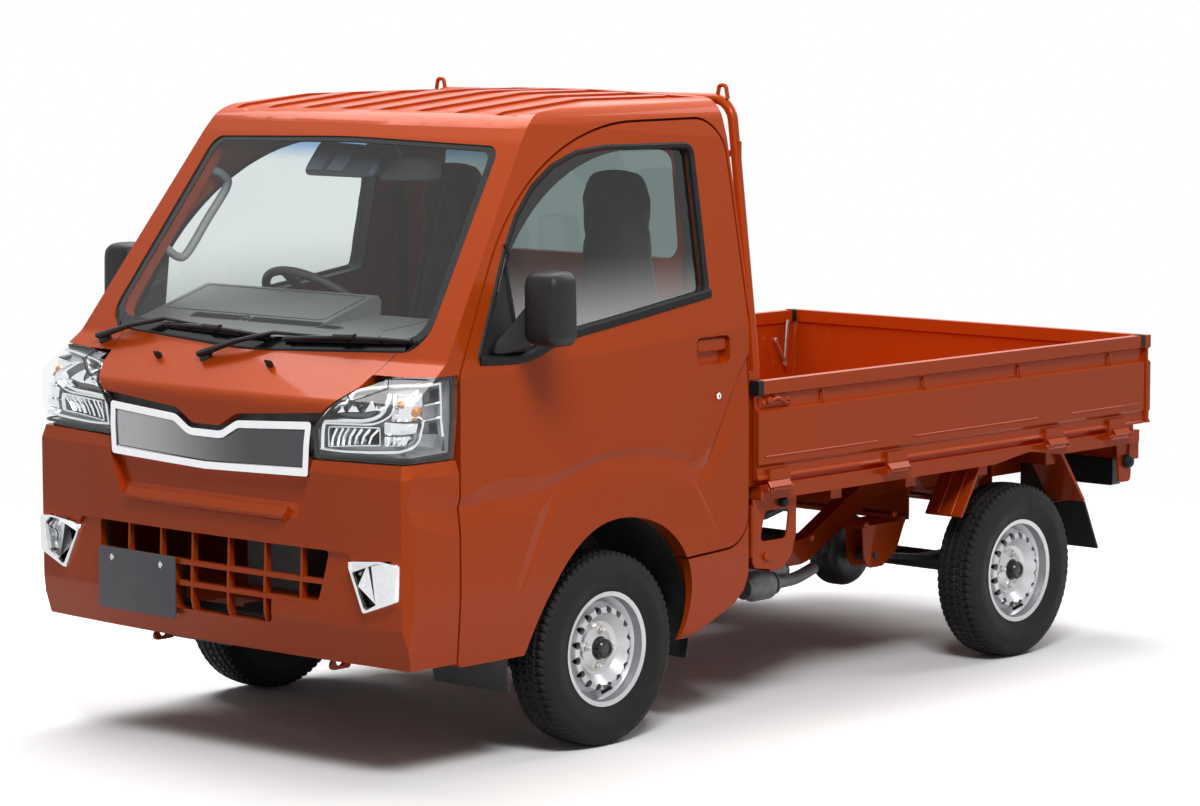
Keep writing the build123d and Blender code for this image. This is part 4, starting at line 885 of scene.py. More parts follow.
def build_window_trim(side, sign):
    """Black rubber round a door window, its thick lower strip, its lining and the sash triangle."""
    body, panel, glass = f"door_{side}", f"door_panel_{side}", f"door_glass_{side}"
    edge = dense(rounded(window_corners, window_radii), 0.03)
    around = [p + (p - window_middle).normalized() * 0.007 for p in edge]
    lower = smooth_line([(-1.388, 1.102), (-1.21, 1.100), (-1.05, 1.143), (-0.80, 1.176), (-0.452, 1.223)], 6)
    form = bmesh.new()
    band(form, lay_side(sign, panel), around, 0.018, -0.014, 0.0035)
    strip(form, lay_side(sign, panel), lower, 0.026, -0.010, 0.008)
    add_piece(f"window_rubber_{side}", form, rubber, body)

    hole = dense(arced(window_corners, window_radii), 0.012)
    nearest = [min(hole, key=lambda q: (q - p).length) for p in edge]
    film = [(edge, -0.001), (edge, 0.0022), ([q.lerp(window_middle, -0.004) for q in nearest], 0.0022),
            ([q.lerp(window_middle, 0.005) for q in nearest], 0.0005)]
    form = bmesh.new()
    shell(form, lay_side(sign, panel, glass), film, caps=(False, False))
    add_piece(f"window_frame_film_{side}", form, gloss_black, body)

    pane = lay_side(sign, glass)

    def reveal(point, lift=0.0):
        """A place on the glass's plane, carried on past its edge."""
        near = window_middle + (point - window_middle) * 0.85
        slope = (pane(near).x - pane(window_middle).x) / max(abs(near.y - window_middle.y), 0.02)
        reach = pane(near).x + slope * abs(point.y - near.y)
        return Vector((reach - sign * lift, point.x, point.y))

    lining = drawn_in(hole, 0.003)
    form = bmesh.new()
    shell(form, reveal, [(hole, 0.007), (lining, 0.007), (lining, 0.044), (hole, 0.046)], caps=(False, False))
    add_piece(f"window_channel_{side}", form, rubber, body)

    on_glass = lay_side(sign, glass, panel)
    sash = rounded([(-1.380, 1.106), (-1.214, 1.106), (-1.232, 1.392)], [0.01, 0.004, 0.004])
    form = bmesh.new()
    pad(form, on_glass, dense(sash, 0.02), 0.005)
    add_piece(f"window_sash_{side}", form, black_plastic, body)
    form = bmesh.new()
    strip(form, on_glass, [(-1.222, 1.106), (-1.236, 1.398)], 0.014, -0.004, 0.010)
    add_piece(f"window_post_{side}", form, rubber, body)


def build_mirror(side, sign):
    """A door mirror: a rounded housing on a swept arm, with its glass behind."""
    body = f"door_{side}"
    low_x, high_x, low_z, high_z = 0.786, 0.906, 1.137, 1.335
    rim = rounded([(low_x, low_z), (high_x, low_z), (high_x - 0.004, high_z), (low_x - 0.002, high_z)],
                  [0.030, 0.036, 0.040, 0.036], 6)
    housing = [(-1.286, 0.62), (-1.284, 0.80), (-1.278, 0.91), (-1.266, 0.972), (-1.245, 1.0), (-1.206, 1.0),
               (-1.201, 0.985), (-1.200, 0.93), (-1.207, 0.90)]
    form = bmesh.new()
    raised(form, at_depth(sign), rim, housing, caps=(True, True))
    add_piece(f"mirror_housing_{side}", form, black_plastic, body, replaces=(f"door_mirror_{side}",))
    form = bmesh.new()
    raised(form, at_depth(sign), rim, [(-1.2068, 0.895), (-1.2052, 0.89), (-1.2045, 0.6), (-1.2043, 0.2)],
           caps=(True, True))
    add_piece(f"mirror_glass_{side}", form, mirror_glass, body)
    # the arm, from the door outwards: x, its lower edge's front and back, and its height
    sections = [
        (0.712, (-1.345, 1.108), (-1.200, 1.108), 0.034), (0.732, (-1.335, 1.112), (-1.205, 1.112), 0.040),
        (0.750, (-1.300, 1.120), (-1.215, 1.122), 0.075), (0.772, (-1.278, 1.135), (-1.222, 1.135), 0.105),
        (0.796, (-1.268, 1.150), (-1.228, 1.150), 0.115),
    ]
    loops = []
    for x, front, back, tall in sections:
        corners = [front, back, (back[0] + 0.002, back[1] + tall * 0.9), (front[0] + 0.012, front[1] + tall)]
        loops.append([Vector((sign * x, p.x, p.y)) for p in rounded(corners, 0.012, 4)])
    form = bmesh.new()
    skin_loops(form, loops)
    add_piece(f"mirror_arm_{side}", form, black_plastic, body, levels=1)


def build_lock(side, sign):
    """A key lock under the door handle: its ring, barrel and slot."""
    body = f"door_{side}"
    y, z = -0.438, 0.934
    place = lay_side(sign, f"door_panel_{side}")((y, z))
    out = Vector((sign, 0, 0))
    form = bmesh.new()
    lathe(form, place - out * 0.003, out, [(0, 0.013), (0.0045, 0.013), (0.0055, 0.011), (0.004, 0.0095)], 28)
    add_piece(f"lock_ring_{side}", form, paint, body)
    form = bmesh.new()
    lathe(form, place - out * 0.002, out, [(0, 0.0095), (0.0052, 0.0093), (0.0066, 0.008), (0.0066, 0.002)],
          24)
    add_piece(f"lock_barrel_{side}", form, chrome, body)
    slot = [(y + along * 0.0015, z + rise * 0.004) for along, rise in ((-1, -1), (1, -1), (1, 1), (-1, 1))]
    form = bmesh.new()
    shell(form, lambda p, lift: Vector((place.x + sign * lift, *p)), [(slot, 0.0040), (slot, 0.0052)],
          caps=(True, True))
    add_piece(f"lock_slot_{side}", form, rubber, body)


for side, sign in SIDES:
    build_window_trim(side, sign)
    build_mirror(side, sign)
    build_lock(side, sign)


# ---- wheels and tyres ---------------------------------------------------------------------------
STEPS_AROUND = 420
STEPS_ACROSS = 26
TREAD_PITCHES = 70
TREAD_HALF = 0.0595
GROOVES = (-0.038, -0.0135, 0.0135, 0.038)


def tyre_section():
    """The tyre's outline across: (x, radius, share of the tread cut) from one bead to the other."""
    side = [(0.054, 0.152, 0), (0.0575, 0.156, 0), (0.0600, 0.166, 0), (0.0665, 0.182, 0), (0.0712, 0.198, 0),
            (0.0724, 0.206, 0), (0.0722, 0.216, 0), (0.0700, 0.230, 0), (0.0690, 0.2335, 0),
            (0.0694, 0.2360, 0), (0.0672, 0.2440, 0), (0.0650, 0.2500, 0), (0.0622, 0.2560, 0.6)]
    crown = []
    for step in range(STEPS_ACROSS + 1):
        x = TREAD_HALF * (1 - 2 * step / STEPS_ACROSS)
        shoulder = 0.0035 if abs(x) > 0.057 else 0.0
        crown.append((x, 0.2694 - 4.8 * abs(x) ** 2.4 - shoulder, 1))
    return side + crown + [(-x, radius, cut) for x, radius, cut in reversed(side)]


def tread_cut(x, turn):
    """How deep the tread is cut at a place: four zigzag grooves and slanted cuts between them."""
    phase = turn * TREAD_PITCHES
    wave = abs((phase % 1.0) - 0.5) * 2
    if any(abs(x - groove - (wave - 0.5) * 0.0035) < 0.0027 for groove in GROOVES):
        return 0.0065
    slant = phase + abs(x) * 26 + (0.5 if GROOVES[2] < abs(x) < GROOVES[3] else 0.0)
    share = 0.30 if abs(x) > 0.040 else 0.20
    return 0.0050 if slant % 1.0 < share else 0.0


def build_tyre_mesh():
    """One tyre on the X axis at the origin, with its cut tread."""
    section = tyre_section()
    loops = []
    for index in range(STEPS_AROUND):
        turn = index / STEPS_AROUND
        angle = 2 * math.pi * turn
        reaches = [(x, radius - tread_cut(x, turn) * share) for x, radius, share in section]
        loops.append([Vector((x, reach * math.sin(angle), reach * math.cos(angle))) for x, reach in reaches])
    form = bmesh.new()
    skin_loops(form, loops, closed=True, wrap=False)
    return finished_mesh("tyre_mesh", form, tyre_rubber, 30)


tyre_mesh = build_tyre_mesh()


def build_wheel(end, side, sign, axle_y):
    """The tyre, wheel nuts, hub cap and valve of one wheel."""
    body, name = f"wheel_{end}_{side}", f"{end}_{side}"
    centre, out = Vector((sign * wheel_x, axle_y, wheel_z)), Vector((sign, 0, 0))
    data = tyre_mesh.copy()
    data.transform(Matrix.Translation(centre) @ Matrix.Rotation(math.pi if sign < 0 else 0, 4, "Z"))
    show(f"tread_tyre_{name}", data, body, "tyre", replaces=(f"tyre_{name}",))

    nut_circle = 0.050
    form = bmesh.new()
    for index in range(4):
        angle = math.radians(90 * index + 8)
        place = centre + Vector((sign * 0.021, nut_circle * math.sin(angle), nut_circle * math.cos(angle)))
        lathe(form, place, out, [(0, 0.0155), (0.004, 0.0150), (0.006, 0.0110)], 24)
        lathe(form, place + out * 0.005, out, [(0, 0.0105), (0.010, 0.0105), (0.0125, 0.0090)], 6)
        lathe(form, place + out * 0.014, out, [(0, 0.0055), (0.008, 0.0055), (0.0095, 0.0040)], 12)
    add_piece(f"wheel_nuts_{name}", form, bare_steel, body, sharp=25)

    form = bmesh.new()
    lathe(form, centre + out * 0.006, out,
          [(0, 0.0300), (0.020, 0.0300), (0.022, 0.0330), (0.026, 0.0330), (0.028, 0.0285), (0.048, 0.0270),
           (0.053, 0.0235), (0.054, 0.0150), (0.051, 0.0140), (0.051, 0.0020)])
    add_piece(f"hub_cap_{name}", form, gloss_black, body, sharp=30)

    stem = centre + Vector((sign * 0.030, 0.012, -0.126))
    form = bmesh.new()
    tube(form, [stem, stem + Vector((sign * 0.012, 0, 0.006)), stem + Vector((sign * 0.026, 0, 0.014))],
         [0.0052, 0.0046, 0.0040])
    lathe(form, stem + Vector((sign * 0.024, 0, 0.013)), (sign, 0, 0.5),
          [(0, 0.0048), (0.010, 0.0048), (0.012, 0.0035)], 12)
    add_piece(f"valve_{name}", form, rubber, body)


for side, sign in SIDES:
    build_wheel("front", side, sign, front_axle_y)
    build_wheel("rear", side, sign, rear_axle_y)


# ---- inside the cab -----------------------------------------------------------------------------
SEAT_X = 0.325
SWELLING_STEPS = 20


def puff(piece, limit, pressure=4.0, voxel=0.006):
    """Swells a closed form with simulated cloth, no point moving further than a limit."""
    materials = list(piece.data.materials)
    remesh = piece.modifiers.new("remesh", "REMESH")
    remesh.mode = "VOXEL"
    remesh.voxel_size = voxel
    remesh.use_smooth_shade = True
    bpy.context.view_layer.update()
    graph = bpy.context.evaluated_depsgraph_get()
    fine = bpy.data.meshes.new_from_object(piece.evaluated_get(graph))
    piece.modifiers.remove(remesh)
    piece.data = fine
    fine.materials.clear()
    for material in materials:
        fine.materials.append(material)
    start = [vertex.co.copy() for vertex in fine.vertices]
    cloth = piece.modifiers.new("cloth", "CLOTH")
    cloth.settings.use_pressure = True
    cloth.settings.uniform_pressure_force = pressure
    cloth.settings.effector_weights.gravity = 0.0
    cloth.settings.quality = 4
    cloth.point_cache.frame_start, cloth.point_cache.frame_end = 1, SWELLING_STEPS
    scene = bpy.context.scene
    for step in range(1, SWELLING_STEPS + 1):
        scene.frame_set(step)
    graph = bpy.context.evaluated_depsgraph_get()
    swollen = piece.evaluated_get(graph).to_mesh()
    moved = [vertex.co.copy() for vertex in swollen.vertices]
    piece.evaluated_get(graph).to_mesh_clear()
    piece.modifiers.remove(cloth)
    scene.frame_set(1)
    for vertex, before, after in zip(fine.vertices, start, moved):
        move = after - before
        vertex.co = before + move * min(1.0, limit / max(move.length, 1e-6))


def press_seams(piece, lines, depth=0.006, width=0.007):
    """Sewn seams: points near a seam's place are drawn in along their normals."""
    vertices = piece.data.vertices
    normals = [vertex.normal.copy() for vertex in vertices]
    for vertex, normal in zip(vertices, normals):
        nearest = min(abs(distance(vertex.co)) for distance in lines)
        vertex.co -= normal * depth * math.exp(-((nearest / width) ** 2))


def add_cushions(name, loops, seams, replaces):
    """The left seat's pad, swollen by simulation, its seams pressed in afterwards, and its mirror image."""
    form = bmesh.new()
    skin_loops(form, loops)
    piece = add_piece(f"{name}_left", form, seat_cloth, sharp=180, replaces=replaces)
    puff(piece, 0.022)
    press_seams(piece, seams)
    piece.data.polygons.foreach_set("use_smooth", [True] * len(piece.data.polygons))
    finer = piece.modifiers.new("finer", "SUBSURF")
    finer.levels = finer.render_levels = 1
    data = piece.data.copy()
    data.transform(Matrix.Scale(-1, 4, Vector((1, 0, 0))))
    data.flip_normals()
    show(f"{name}_right", data, "root", "seat_cloth", levels=1)


def build_seats():
    """Two seats, each a cushion and a tall back that narrows to its head pad."""
    front_y, back_y = cab_rear_y - 0.585, cab_rear_y - 0.215
    outline = rounded([(SEAT_X - 0.215, front_y), (SEAT_X + 0.215, front_y), (SEAT_X + 0.205, back_y),
                       (SEAT_X - 0.205, back_y)], 0.05, 6)
    levels = [(0.742, 0.93), (0.750, 0.985), (0.800, 1.0), (0.835, 0.99), (0.850, 0.93), (0.853, 0.7)]
    loops = [[Vector((p.x, p.y, z + 0.045 * (cab_rear_y - 0.2 - p.y))) for p in scaled(outline, factor)]
             for z, factor in levels]
    seams = [lambda co: abs(co.x - SEAT_X) - 0.135, lambda co: abs(co.y - (cab_rear_y - 0.50))]
    add_cushions("seat_cushion", loops, seams, ("seat_cushions",))

    half = [(0.205, 0.775), (0.212, 0.98), (0.196, 1.11), (0.146, 1.24), (0.124, 1.37), (0.114, 1.50),
            (0.080, 1.568)]
    radii = [0.03, 0.05, 0.08, 0.08, 0.08, 0.05, 0.05]
    points = [(SEAT_X + x, z) for x, z in half] + [(SEAT_X - x, z) for x, z in reversed(half)]
    face = dense(rounded(points, radii + radii[::-1], 3), 0.03)
    middle = Vector((SEAT_X, 1.16))
    loops = []
    for y, factor in [(-0.148, 0.90), (-0.142, 0.955), (-0.115, 0.965), (-0.088, 0.955), (-0.078, 0.90)]:
        drawn = [middle + (p - middle) * (1 - (1 - factor) * 0.8) for p in face]
        lean = 0.02 if y < -0.1 else 0.004
        loops.append([Vector((p.x, cab_rear_y + y + lean * (1.3 - p.y), p.y)) for p in drawn])
    seams = [lambda co: abs(co.x - SEAT_X) - 0.115 + 0.3 * max(0.0, co.z - 1.1), lambda co: co.z - 1.30]
    add_cushions("seat_back", loops, seams, ("seat_backs",))


def build_camera_box():
    """The twin-window sensor box behind the glass, with the inner mirror beside it."""
    box_z, slope = 1.548, 0.72

    def lay(point, lift=0.0):
        """Lays (x, z) points behind the slanted windscreen."""
        return Vector((point[0], -1.152 + (point[1] - box_z) * slope + abs(point[0]) * 0.01 - lift, point[1]))

    rim = rounded([(-0.205, box_z), (0.080, box_z), (0.075, 1.632), (-0.195, 1.640)],
                  [0.03, 0.02, 0.01, 0.01])
    form = bmesh.new()
    raised(form, lay, rim, [(0.0, 0.93), (-0.012, 1.0), (-0.030, 1.0), (-0.060, 0.9)], caps=(True, True))
    add_piece("sensor_box", form, dark_plastic)
    form = bmesh.new()
    for x in (-0.150, -0.066):
        corners = [(x - 0.036, 1.566), (x + 0.024, 1.566), (x + 0.036, 1.618), (x - 0.018, 1.618)]
        window = rounded(corners, 0.004, 3)
        raised(form, lay, window, [(-0.002, 1.08), (0.003, 1.05), (0.0015, 1), (0.0013, 0.5)])
    add_piece("sensor_windows", form, grey_plastic)
    rim = rounded([(0.010, 1.535), (0.245, 1.542), (0.240, 1.612), (0.018, 1.606)], 0.022, 6)
    form = bmesh.new()
    raised(form, at_depth(), rim,
           [(-1.062, 0.72), (-1.058, 0.9), (-1.048, 0.985), (-1.034, 1.0), (-1.030, 0.97), (-1.031, 0.9)],
           caps=(True, True))
    tube(form, [(0.105, -1.040, 1.600), (0.095, -1.060, 1.640), (0.060, -1.075, 1.672)], 0.009, 10)
    add_piece("inner_mirror_shell", form, grey_plastic, replaces=("interior_mirror",))
    form = bmesh.new()
    raised(form, at_depth(), rim, [(-1.0305, 0.9), (-1.0295, 0.88), (-1.029, 0.4)], caps=(True, True))
    add_piece("inner_mirror_glass", form, mirror_glass)


def build_cab_trim():
    """The grab handle on the right pillar, the sun visors and the seat belts."""
    grip = smooth_line([(-0.600, -1.150, 1.556), (-0.592, -1.140, 1.554), (-0.585, -1.090, 1.532),
                        (-0.586, -1.078, 1.500), (-0.590, -1.150, 1.410), (-0.594, -1.225, 1.316),
                        (-0.600, -1.258, 1.306), (-0.604, -1.300, 1.334), (-0.608, -1.308, 1.342)], 5)
    ends = range(4, len(grip) - 4)
    form = bmesh.new()
    tube(form, grip, [0.0125 if index in ends else 0.016 for index in range(len(grip))])
    add_piece("grab_handle", form, grip_grey)

    front_y, slope = -1.045, 0.18
    form = bmesh.new()
    for sign in (1, -1):
        corners = [(0.12, front_y), (0.52, front_y), (0.50, -0.925), (0.12, -0.925)]
        rim = rounded([(sign * x, y) for x, y in corners], 0.025)
        raised(form, lambda p, lift: Vector((p.x, p.y, 1.655 + (p.y - front_y) * slope + lift)), rim,
               [(-0.008, 0.94), (-0.004, 1.0), (0.004, 1.0), (0.008, 0.94)], caps=(True, True))
    add_piece("sun_visors", form, grey_plastic)

    belt_half, belt_thick = 0.023, 0.0009
    form = bmesh.new()
    for sign in (1, -1):
        route = smooth_line([(0.640, -0.345, 1.475), (0.585, -0.375, 1.40), (0.575, -0.380, 1.10),
                             (0.595, -0.385, 0.80), (0.620, -0.390, 0.735)])
        section = [(-belt_half, -belt_thick), (belt_half, -belt_thick), (belt_half, belt_thick),
                   (-belt_half, belt_thick)]
        skin_loops(form, [[Vector((sign * (p.x + b), p.y + a, p.z)) for a, b in section] for p in route])
    add_piece("seat_belts", form, rubber)

    form = bmesh.new()
    for z, size in ((1.475, 0.030), (0.735, 0.024)):
        studs(form, [(0.655, -0.345, z)], (-1, 0, 0), [(0, size), (0.022, size), (0.030, size * 0.6)], 20)
    add_piece("belt_anchors", form, dark_plastic)


def build_dash_details():
    """The vents in the dashboard's top, their fins, the round sensor and the lid's lines."""
    dash = lay_on(("dashboard",), lambda p: (Vector((p[0], p[1], REACH)), Vector((0, 0, -1))))
    vents, vent_front, vent_back, fin_gap = ((-0.455, -0.245), (-0.215, 0.150)), -1.345, -1.318, 0.010
    form = bmesh.new()
    for low, high in vents:
        slot = rounded_box(low, vent_front, high, vent_back, 0.008)
        raised(form, dash, slot, [(-0.002, 1), (0.0025, 1), (0.0015, 0.94)])
    lathe(form, dash((-0.230, -1.332)), (0, 0, 1), [(0, 0.012), (0.006, 0.011), (0.012, 0.006)], 20)
    add_piece("dash_vents", form, dark_plastic)
    fin = [(-0.0012, 0.001), (0.0012, 0.001), (0.0012, 0.0045), (-0.0012, 0.0045)]
    form = bmesh.new()
    for low, high in vents:
        for step in range(1, round((high - low) / fin_gap)):
            x = low + step * fin_gap
            ends = (vent_front + 0.001, vent_back - 0.001)
            skin_loops(form, [[dash((x + across, y), lift) for across, lift in fin] for y in ends])
    add_piece("dash_vent_fins", form, black_plastic)

    form = bmesh.new()
    band(form, dash, dense(rounded_box(-0.61, -1.30, 0.045, -1.128, 0.02, 5), 0.05), 0.004, -0.001, 0.0016)
    strip(form, dash, [(0.30, -1.32), (0.30, -1.13)], 0.003, -0.001, 0.0012, gap=0.04)
    add_piece("dash_lid_line", form, dark_plastic)


def build_door_trim(side, sign):
    """The dark trim on a door's inner face."""
    inside = lay_on((f"door_panel_{side}",), lambda p: (Vector((0, p[0], p[1])), Vector((sign, 0, 0))))
    corners = [(-1.10, 0.72), (-0.45, 0.72), (-0.42, 1.10), (-0.80, 1.05), (-1.20, 1.00), (-1.20, 0.80)]
    form = bmesh.new()
    pad(form, inside, dense(rounded(corners, 0.04, 4), 0.04), 0.010)
    add_piece(f"door_trim_{side}", form, dark_plastic, f"door_{side}")


build_seats()
build_camera_box()
build_cab_trim()
build_dash_details()
for side, sign in SIDES:
    build_door_trim(side, sign)


# ---- wheel arches -------------------------------------------------------------------------------
def build_arch_liners():
    """Black liners that follow the tubs over the front wheels."""
    centre_y, centre_z, radius = front_axle_y - 0.005, 0.285, 0.372
    turn = [math.radians(-14 + 208 * step / 32) for step in range(33)]

    def on_arch(x, reach, angle):
        return Vector((x, centre_y + reach * math.cos(angle), centre_z + reach * math.sin(angle)))

    form = bmesh.new()
    for sign in (1, -1):
        section = [(0.408, radius), (0.690, radius), (0.690, radius - 0.004), (0.408, radius - 0.004)]
        skin_loops(form, [[on_arch(sign * x, reach, angle) for x, reach in section] for angle in turn])
        wall = (sign * 0.4075, sign * 0.4105)
        skin_loops(form, [[on_arch(x, radius - 0.002, angle) for angle in turn] for x in wall])
    add_piece("wheel_arch_liners", form, underbody)


build_arch_liners()


# ---- bed ----------------------------------------------------------------------------------------
bed_front_y = cab_rear_y + 0.028
gate_top, gate_face = 0.960, half_width
gate_front, gate_rear = (corner.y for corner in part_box("side_gate_left"))
HINGE_X, HINGE_Z = half_width + 0.010, 0.650
NUT = [(0, 0.009), (0.005, 0.009), (0.008, 0.005)]


def build_gate_details(side, sign):
    """End caps, latches, bolted hinge leaves, the pressed line and the stay of one side gate."""
    body, outwards = f"side_gate_{side}", (sign, 0, 0)
    rim = rounded_box(gate_face - 0.032, gate_top - 0.040, gate_face + 0.002, gate_top + 0.002, 0.004, 3)
    form = bmesh.new()
    for ends in ((gate_front - 0.004, gate_front + 0.020), (gate_rear - 0.016, gate_rear + 0.002)):
        raised(form, at_depth(sign), rim, [(y, 1) for y in ends], caps=(True, True))
    add_piece(f"gate_caps_{side}", form, rubber, body)

    form = bmesh.new()
    for y in (gate_front + 0.030, gate_front + 0.132):
        lathe(form, (sign * (gate_face - 0.009), y, gate_top - 0.064), outwards,
              [(0, 0.009), (0.004, 0.009), (0.007, 0.006)], 16)
    lever = [(gate_front + 0.050, gate_top - 0.058), (gate_front + 0.085, gate_top - 0.052),
             (gate_front + 0.128, gate_top - 0.070)]
    tube(form, [(sign * (gate_face - 0.002), *place) for place in lever], [0.0055, 0.0065, 0.0045], 10)
    lathe(form, (sign * (gate_face - 0.010), *lever[0]), outwards,
          [(0, 0.011), (0.010, 0.011), (0.013, 0.008)], 18)
    add_piece(f"gate_latch_{side}", form, paint, body)

    form = bmesh.new()
    for low, high in ((-0.244, -0.120), (0.306, 0.431), (1.106, 1.233), (1.461, 1.571)):
        middle, half = (low + high) / 2, (high - low) / 2 - 0.014

        def lay(p, lift):
            """Lays (y, share of the height) points on the gate's slanted foot."""
            out, up = 0.7565 - 0.0115 * p.y + lift * 0.7, 0.654 + 0.016 * p.y + lift * 0.7
            return Vector((sign * out, p.x, up))

        plate = rounded_box(middle - half, 0, middle + half, 1, 0.004, 3)
        raised(form, lay, plate, [(-0.002, 0.98), (0.003, 1.0), (0.0045, 0.96)], caps=(True, True))
        for end in (-1, 1):
            lathe(form, (sign * HINGE_X, middle + end * (half + 0.002), HINGE_Z), (0, end, 0),
                  [(0, 0.0085), (0.003, 0.0085), (0.005, 0.006)], 14)
    add_piece(f"gate_hinge_leaves_{side}", form, paint, body, sharp=30)

    press_z = 0.742
    on_face = lambda p, lift: Vector((sign * (gate_face + lift), *p))
    form = bmesh.new()
    for low, high in ((gate_front + 0.03, 0.28), (0.46, 1.08), (1.26, gate_rear - 0.03)):
        strip(form, on_face, [(low, press_z), (high, press_z)], 0.006, -0.002, 0.0022, gap=0.2)
    add_piece(f"gate_press_line_{side}", form, paint, body)

    top = Vector((sign * (gate_face - 0.040), gate_rear - 0.050, gate_top - 0.030))
    knee = top + Vector((-sign * 0.004, -0.020, -0.150))
    tip = knee + Vector((0, -0.055, 0.085))
    form = bmesh.new()
    for start, end in ((top, knee), (knee, tip)):
        tube(form, [start.lerp(end, share) for share in (0, 0.08, 0.92, 1)], [0.007, 0.0095, 0.0095, 0.007],
             10, flat=0.3)
        lathe(form, end + Vector((sign * 0.005, 0, 0)), (-sign, 0, 0),
              [(0, 0.009), (0.010, 0.009), (0.012, 0.005)], 14)
    add_piece(f"gate_stay_{side}", form, bare_steel, body)


def build_bed_fixings():
    """Rope hooks on the guard frame, bolts and rubber stoppers."""
    hook_y, hook_z = bed_front_y + 0.043, 1.602
    form = bmesh.new()
    for sign in (1, -1):
        tube(form, [(sign * 0.585, hook_y, hook_z), (sign * 0.625, hook_y, hook_z)], 0.005, 10)
        tube(form, [(sign * 0.627, hook_y, z) for z in (hook_z - 0.034, hook_z + 0.034)], 0.007, 10)
    studs(form, [(0.594, hook_y, hook_z)], (1, 0, 0), [(0, 0.011), (0.010, 0.009)], 14)
    add_piece("guard_rope_hooks", form, paint)
    form = bmesh.new()
    studs(form, [(0.686, bed_front_y + 0.058, z) for z in (0.76, 0.86, 0.94)], (0, 1, 0), NUT)
    add_piece("guard_bolts", form, bare_steel, sharp=25)
    form = bmesh.new()
    studs(form, [(0.700, bed_front_y + 0.080, 0.448)], (1, 0, 0),
          [(0, 0.014), (0.006, 0.014), (0.010, 0.009)])
    add_piece("side_plate_bolts", form, paint, sharp=25)
    form = bmesh.new()
    studs(form, [(0.700, cad_high.y - 0.085, 0.556)], (1, 0, 0),
          [(0, 0.022), (0.012, 0.022), (0.022, 0.017), (0.026, 0.009)], 20)
    studs(form, [(0.700, bed_front_y + 0.150, 0.600)], (1, 0, 0),
          [(0, 0.015), (0.012, 0.015), (0.018, 0.010)], 18)
    add_piece("rubber_stoppers", form, rubber)


def build_tailgate_details():
    """Corner latches and hinge bolts on the tailgate."""
    face = cad_high.y - 0.007
    form = bmesh.new()
    lever = [(0.650, face + 0.004, 0.900), (0.700, face + 0.007, 0.905), (0.720, face + 0.004, 0.86)]
    for sign in (1, -1):
        tube(form, [(sign * x, y, z) for x, y, z in lever], [0.006, 0.007, 0.005], 10)
    studs(form, [(0.700, face - 0.002, 0.905)], (0, 1, 0), [(0, 0.013), (0.008, 0.013), (0.011, 0.008)], 18)
    bolts = [(x + aside, face + 0.001, 0.690) for x in (0.560, 0.190) for aside in (-0.024, 0.024)]
    studs(form, bolts, (0, 1, 0), [(0, 0.007), (0.004, 0.007), (0.006, 0.004)])
    add_piece("tailgate_fittings", form, paint, "tailgate", sharp=30)


def build_rear_lamps():
    """Each rear lamp: a black case with its red and amber lenses, and a blank plate between them."""
    low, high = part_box("rear_lamps")
    lay = lambda p, lift: Vector((p[0], high.y + lift, p[1]))
    inner, outer, rim = 0.430, 0.640, 0.008
    span = outer - inner
    for side, sign in SIDES:
        case = rounded_box(sign * inner, low.z, sign * outer, high.z, 0.010)
        form = bmesh.new()
        raised(form, lay, case, [(-0.046, 1), (0.000, 1), (0.003, 0.97)], caps=(True, True))
        add_piece(f"rear_lamp_case_{side}", form, black_plastic,
                  replaces=("rear_lamps",) if side == "left" else ())
        for start, end, name, material in ((0.34, 0.96, "red", red_lens), (0.04, 0.31, "amber", amber)):
            near, far = sign * (inner + span * start), sign * (inner + span * end)
            lens = rounded_box(near, low.z + rim, far, high.z - rim, 0.006)
            form = bmesh.new()
            raised(form, lay, lens, [(0.001, 1), (0.009, 0.985), (0.011, 0.9), (0.0115, 0.3)])
            add_piece(f"rear_lamp_{name}_{side}", form, material, slot="lamp_red")
    plate = rounded_box(-0.165, 0.470, 0.165, 0.635, 0.008)
    form = bmesh.new()
    raised(form, lay, plate, [(0.000, 1), (0.0015, 1)], caps=(True, True))
    add_piece("rear_plate", form, plate_grey)


for side, sign in SIDES:
    build_gate_details(side, sign)
build_bed_fixings()
build_tailgate_details()
build_rear_lamps()


# ---- under the bed ------------------------------------------------------------------------------
def build_exhaust():
    """The catalyst can, its flanges and the pipe that runs back from it."""
    x, z, back = 0.548, 0.330, (0, 1, 0)
    form = bmesh.new()
    lathe(form, (x, -0.100, z), back,
          [(0, 0.022), (0.010, 0.030), (0.030, 0.044), (0.100, 0.044), (0.118, 0.030), (0.128, 0.024)], 28)
    for y in (-0.106, 0.022):
        lathe(form, (x, y, z), back, [(0, 0.020), (0.0, 0.034), (0.008, 0.034), (0.008, 0.020)], 20)
    route = smooth_line([(x, 0.026, z), (0.540, 0.090, 0.328), (0.500, 0.200, 0.322), (0.455, 0.330, z)], 5)
    tube(form, route, 0.019, 16)
    add_piece("exhaust_catalyst", form, cast_metal, sharp=35)


def build_underframe():
    """Cross panels, sills and the bolts along the rails under the bed."""
    form = bmesh.new()
    for y in (0.868, 1.300):
        block(form, (-0.40, y, 0.415), (0.40, y + 0.006, 0.640))
        block(form, (-0.40, y - 0.020, 0.415), (0.40, y, 0.430))
    for low_x, high_x in ((0.270, 0.305), (-0.305, -0.270)):
        block(form, (low_x, -0.230, 0.600), (high_x, 1.600, 0.652), 0.003)
    add_piece("bed_underframe", form, paint, sharp=30)
    form = bmesh.new()
    rail_bolts = [(0.519, y, z) for y, z in ((0.02, 0.44), (0.24, 0.44), (0.50, 0.45), (0.64, 0.47))]
    studs(form, rail_bolts, (1, 0, 0), [(0, 0.012), (0.006, 0.012), (0.010, 0.007)])
    add_piece("rail_bolts", form, paint, sharp=25)


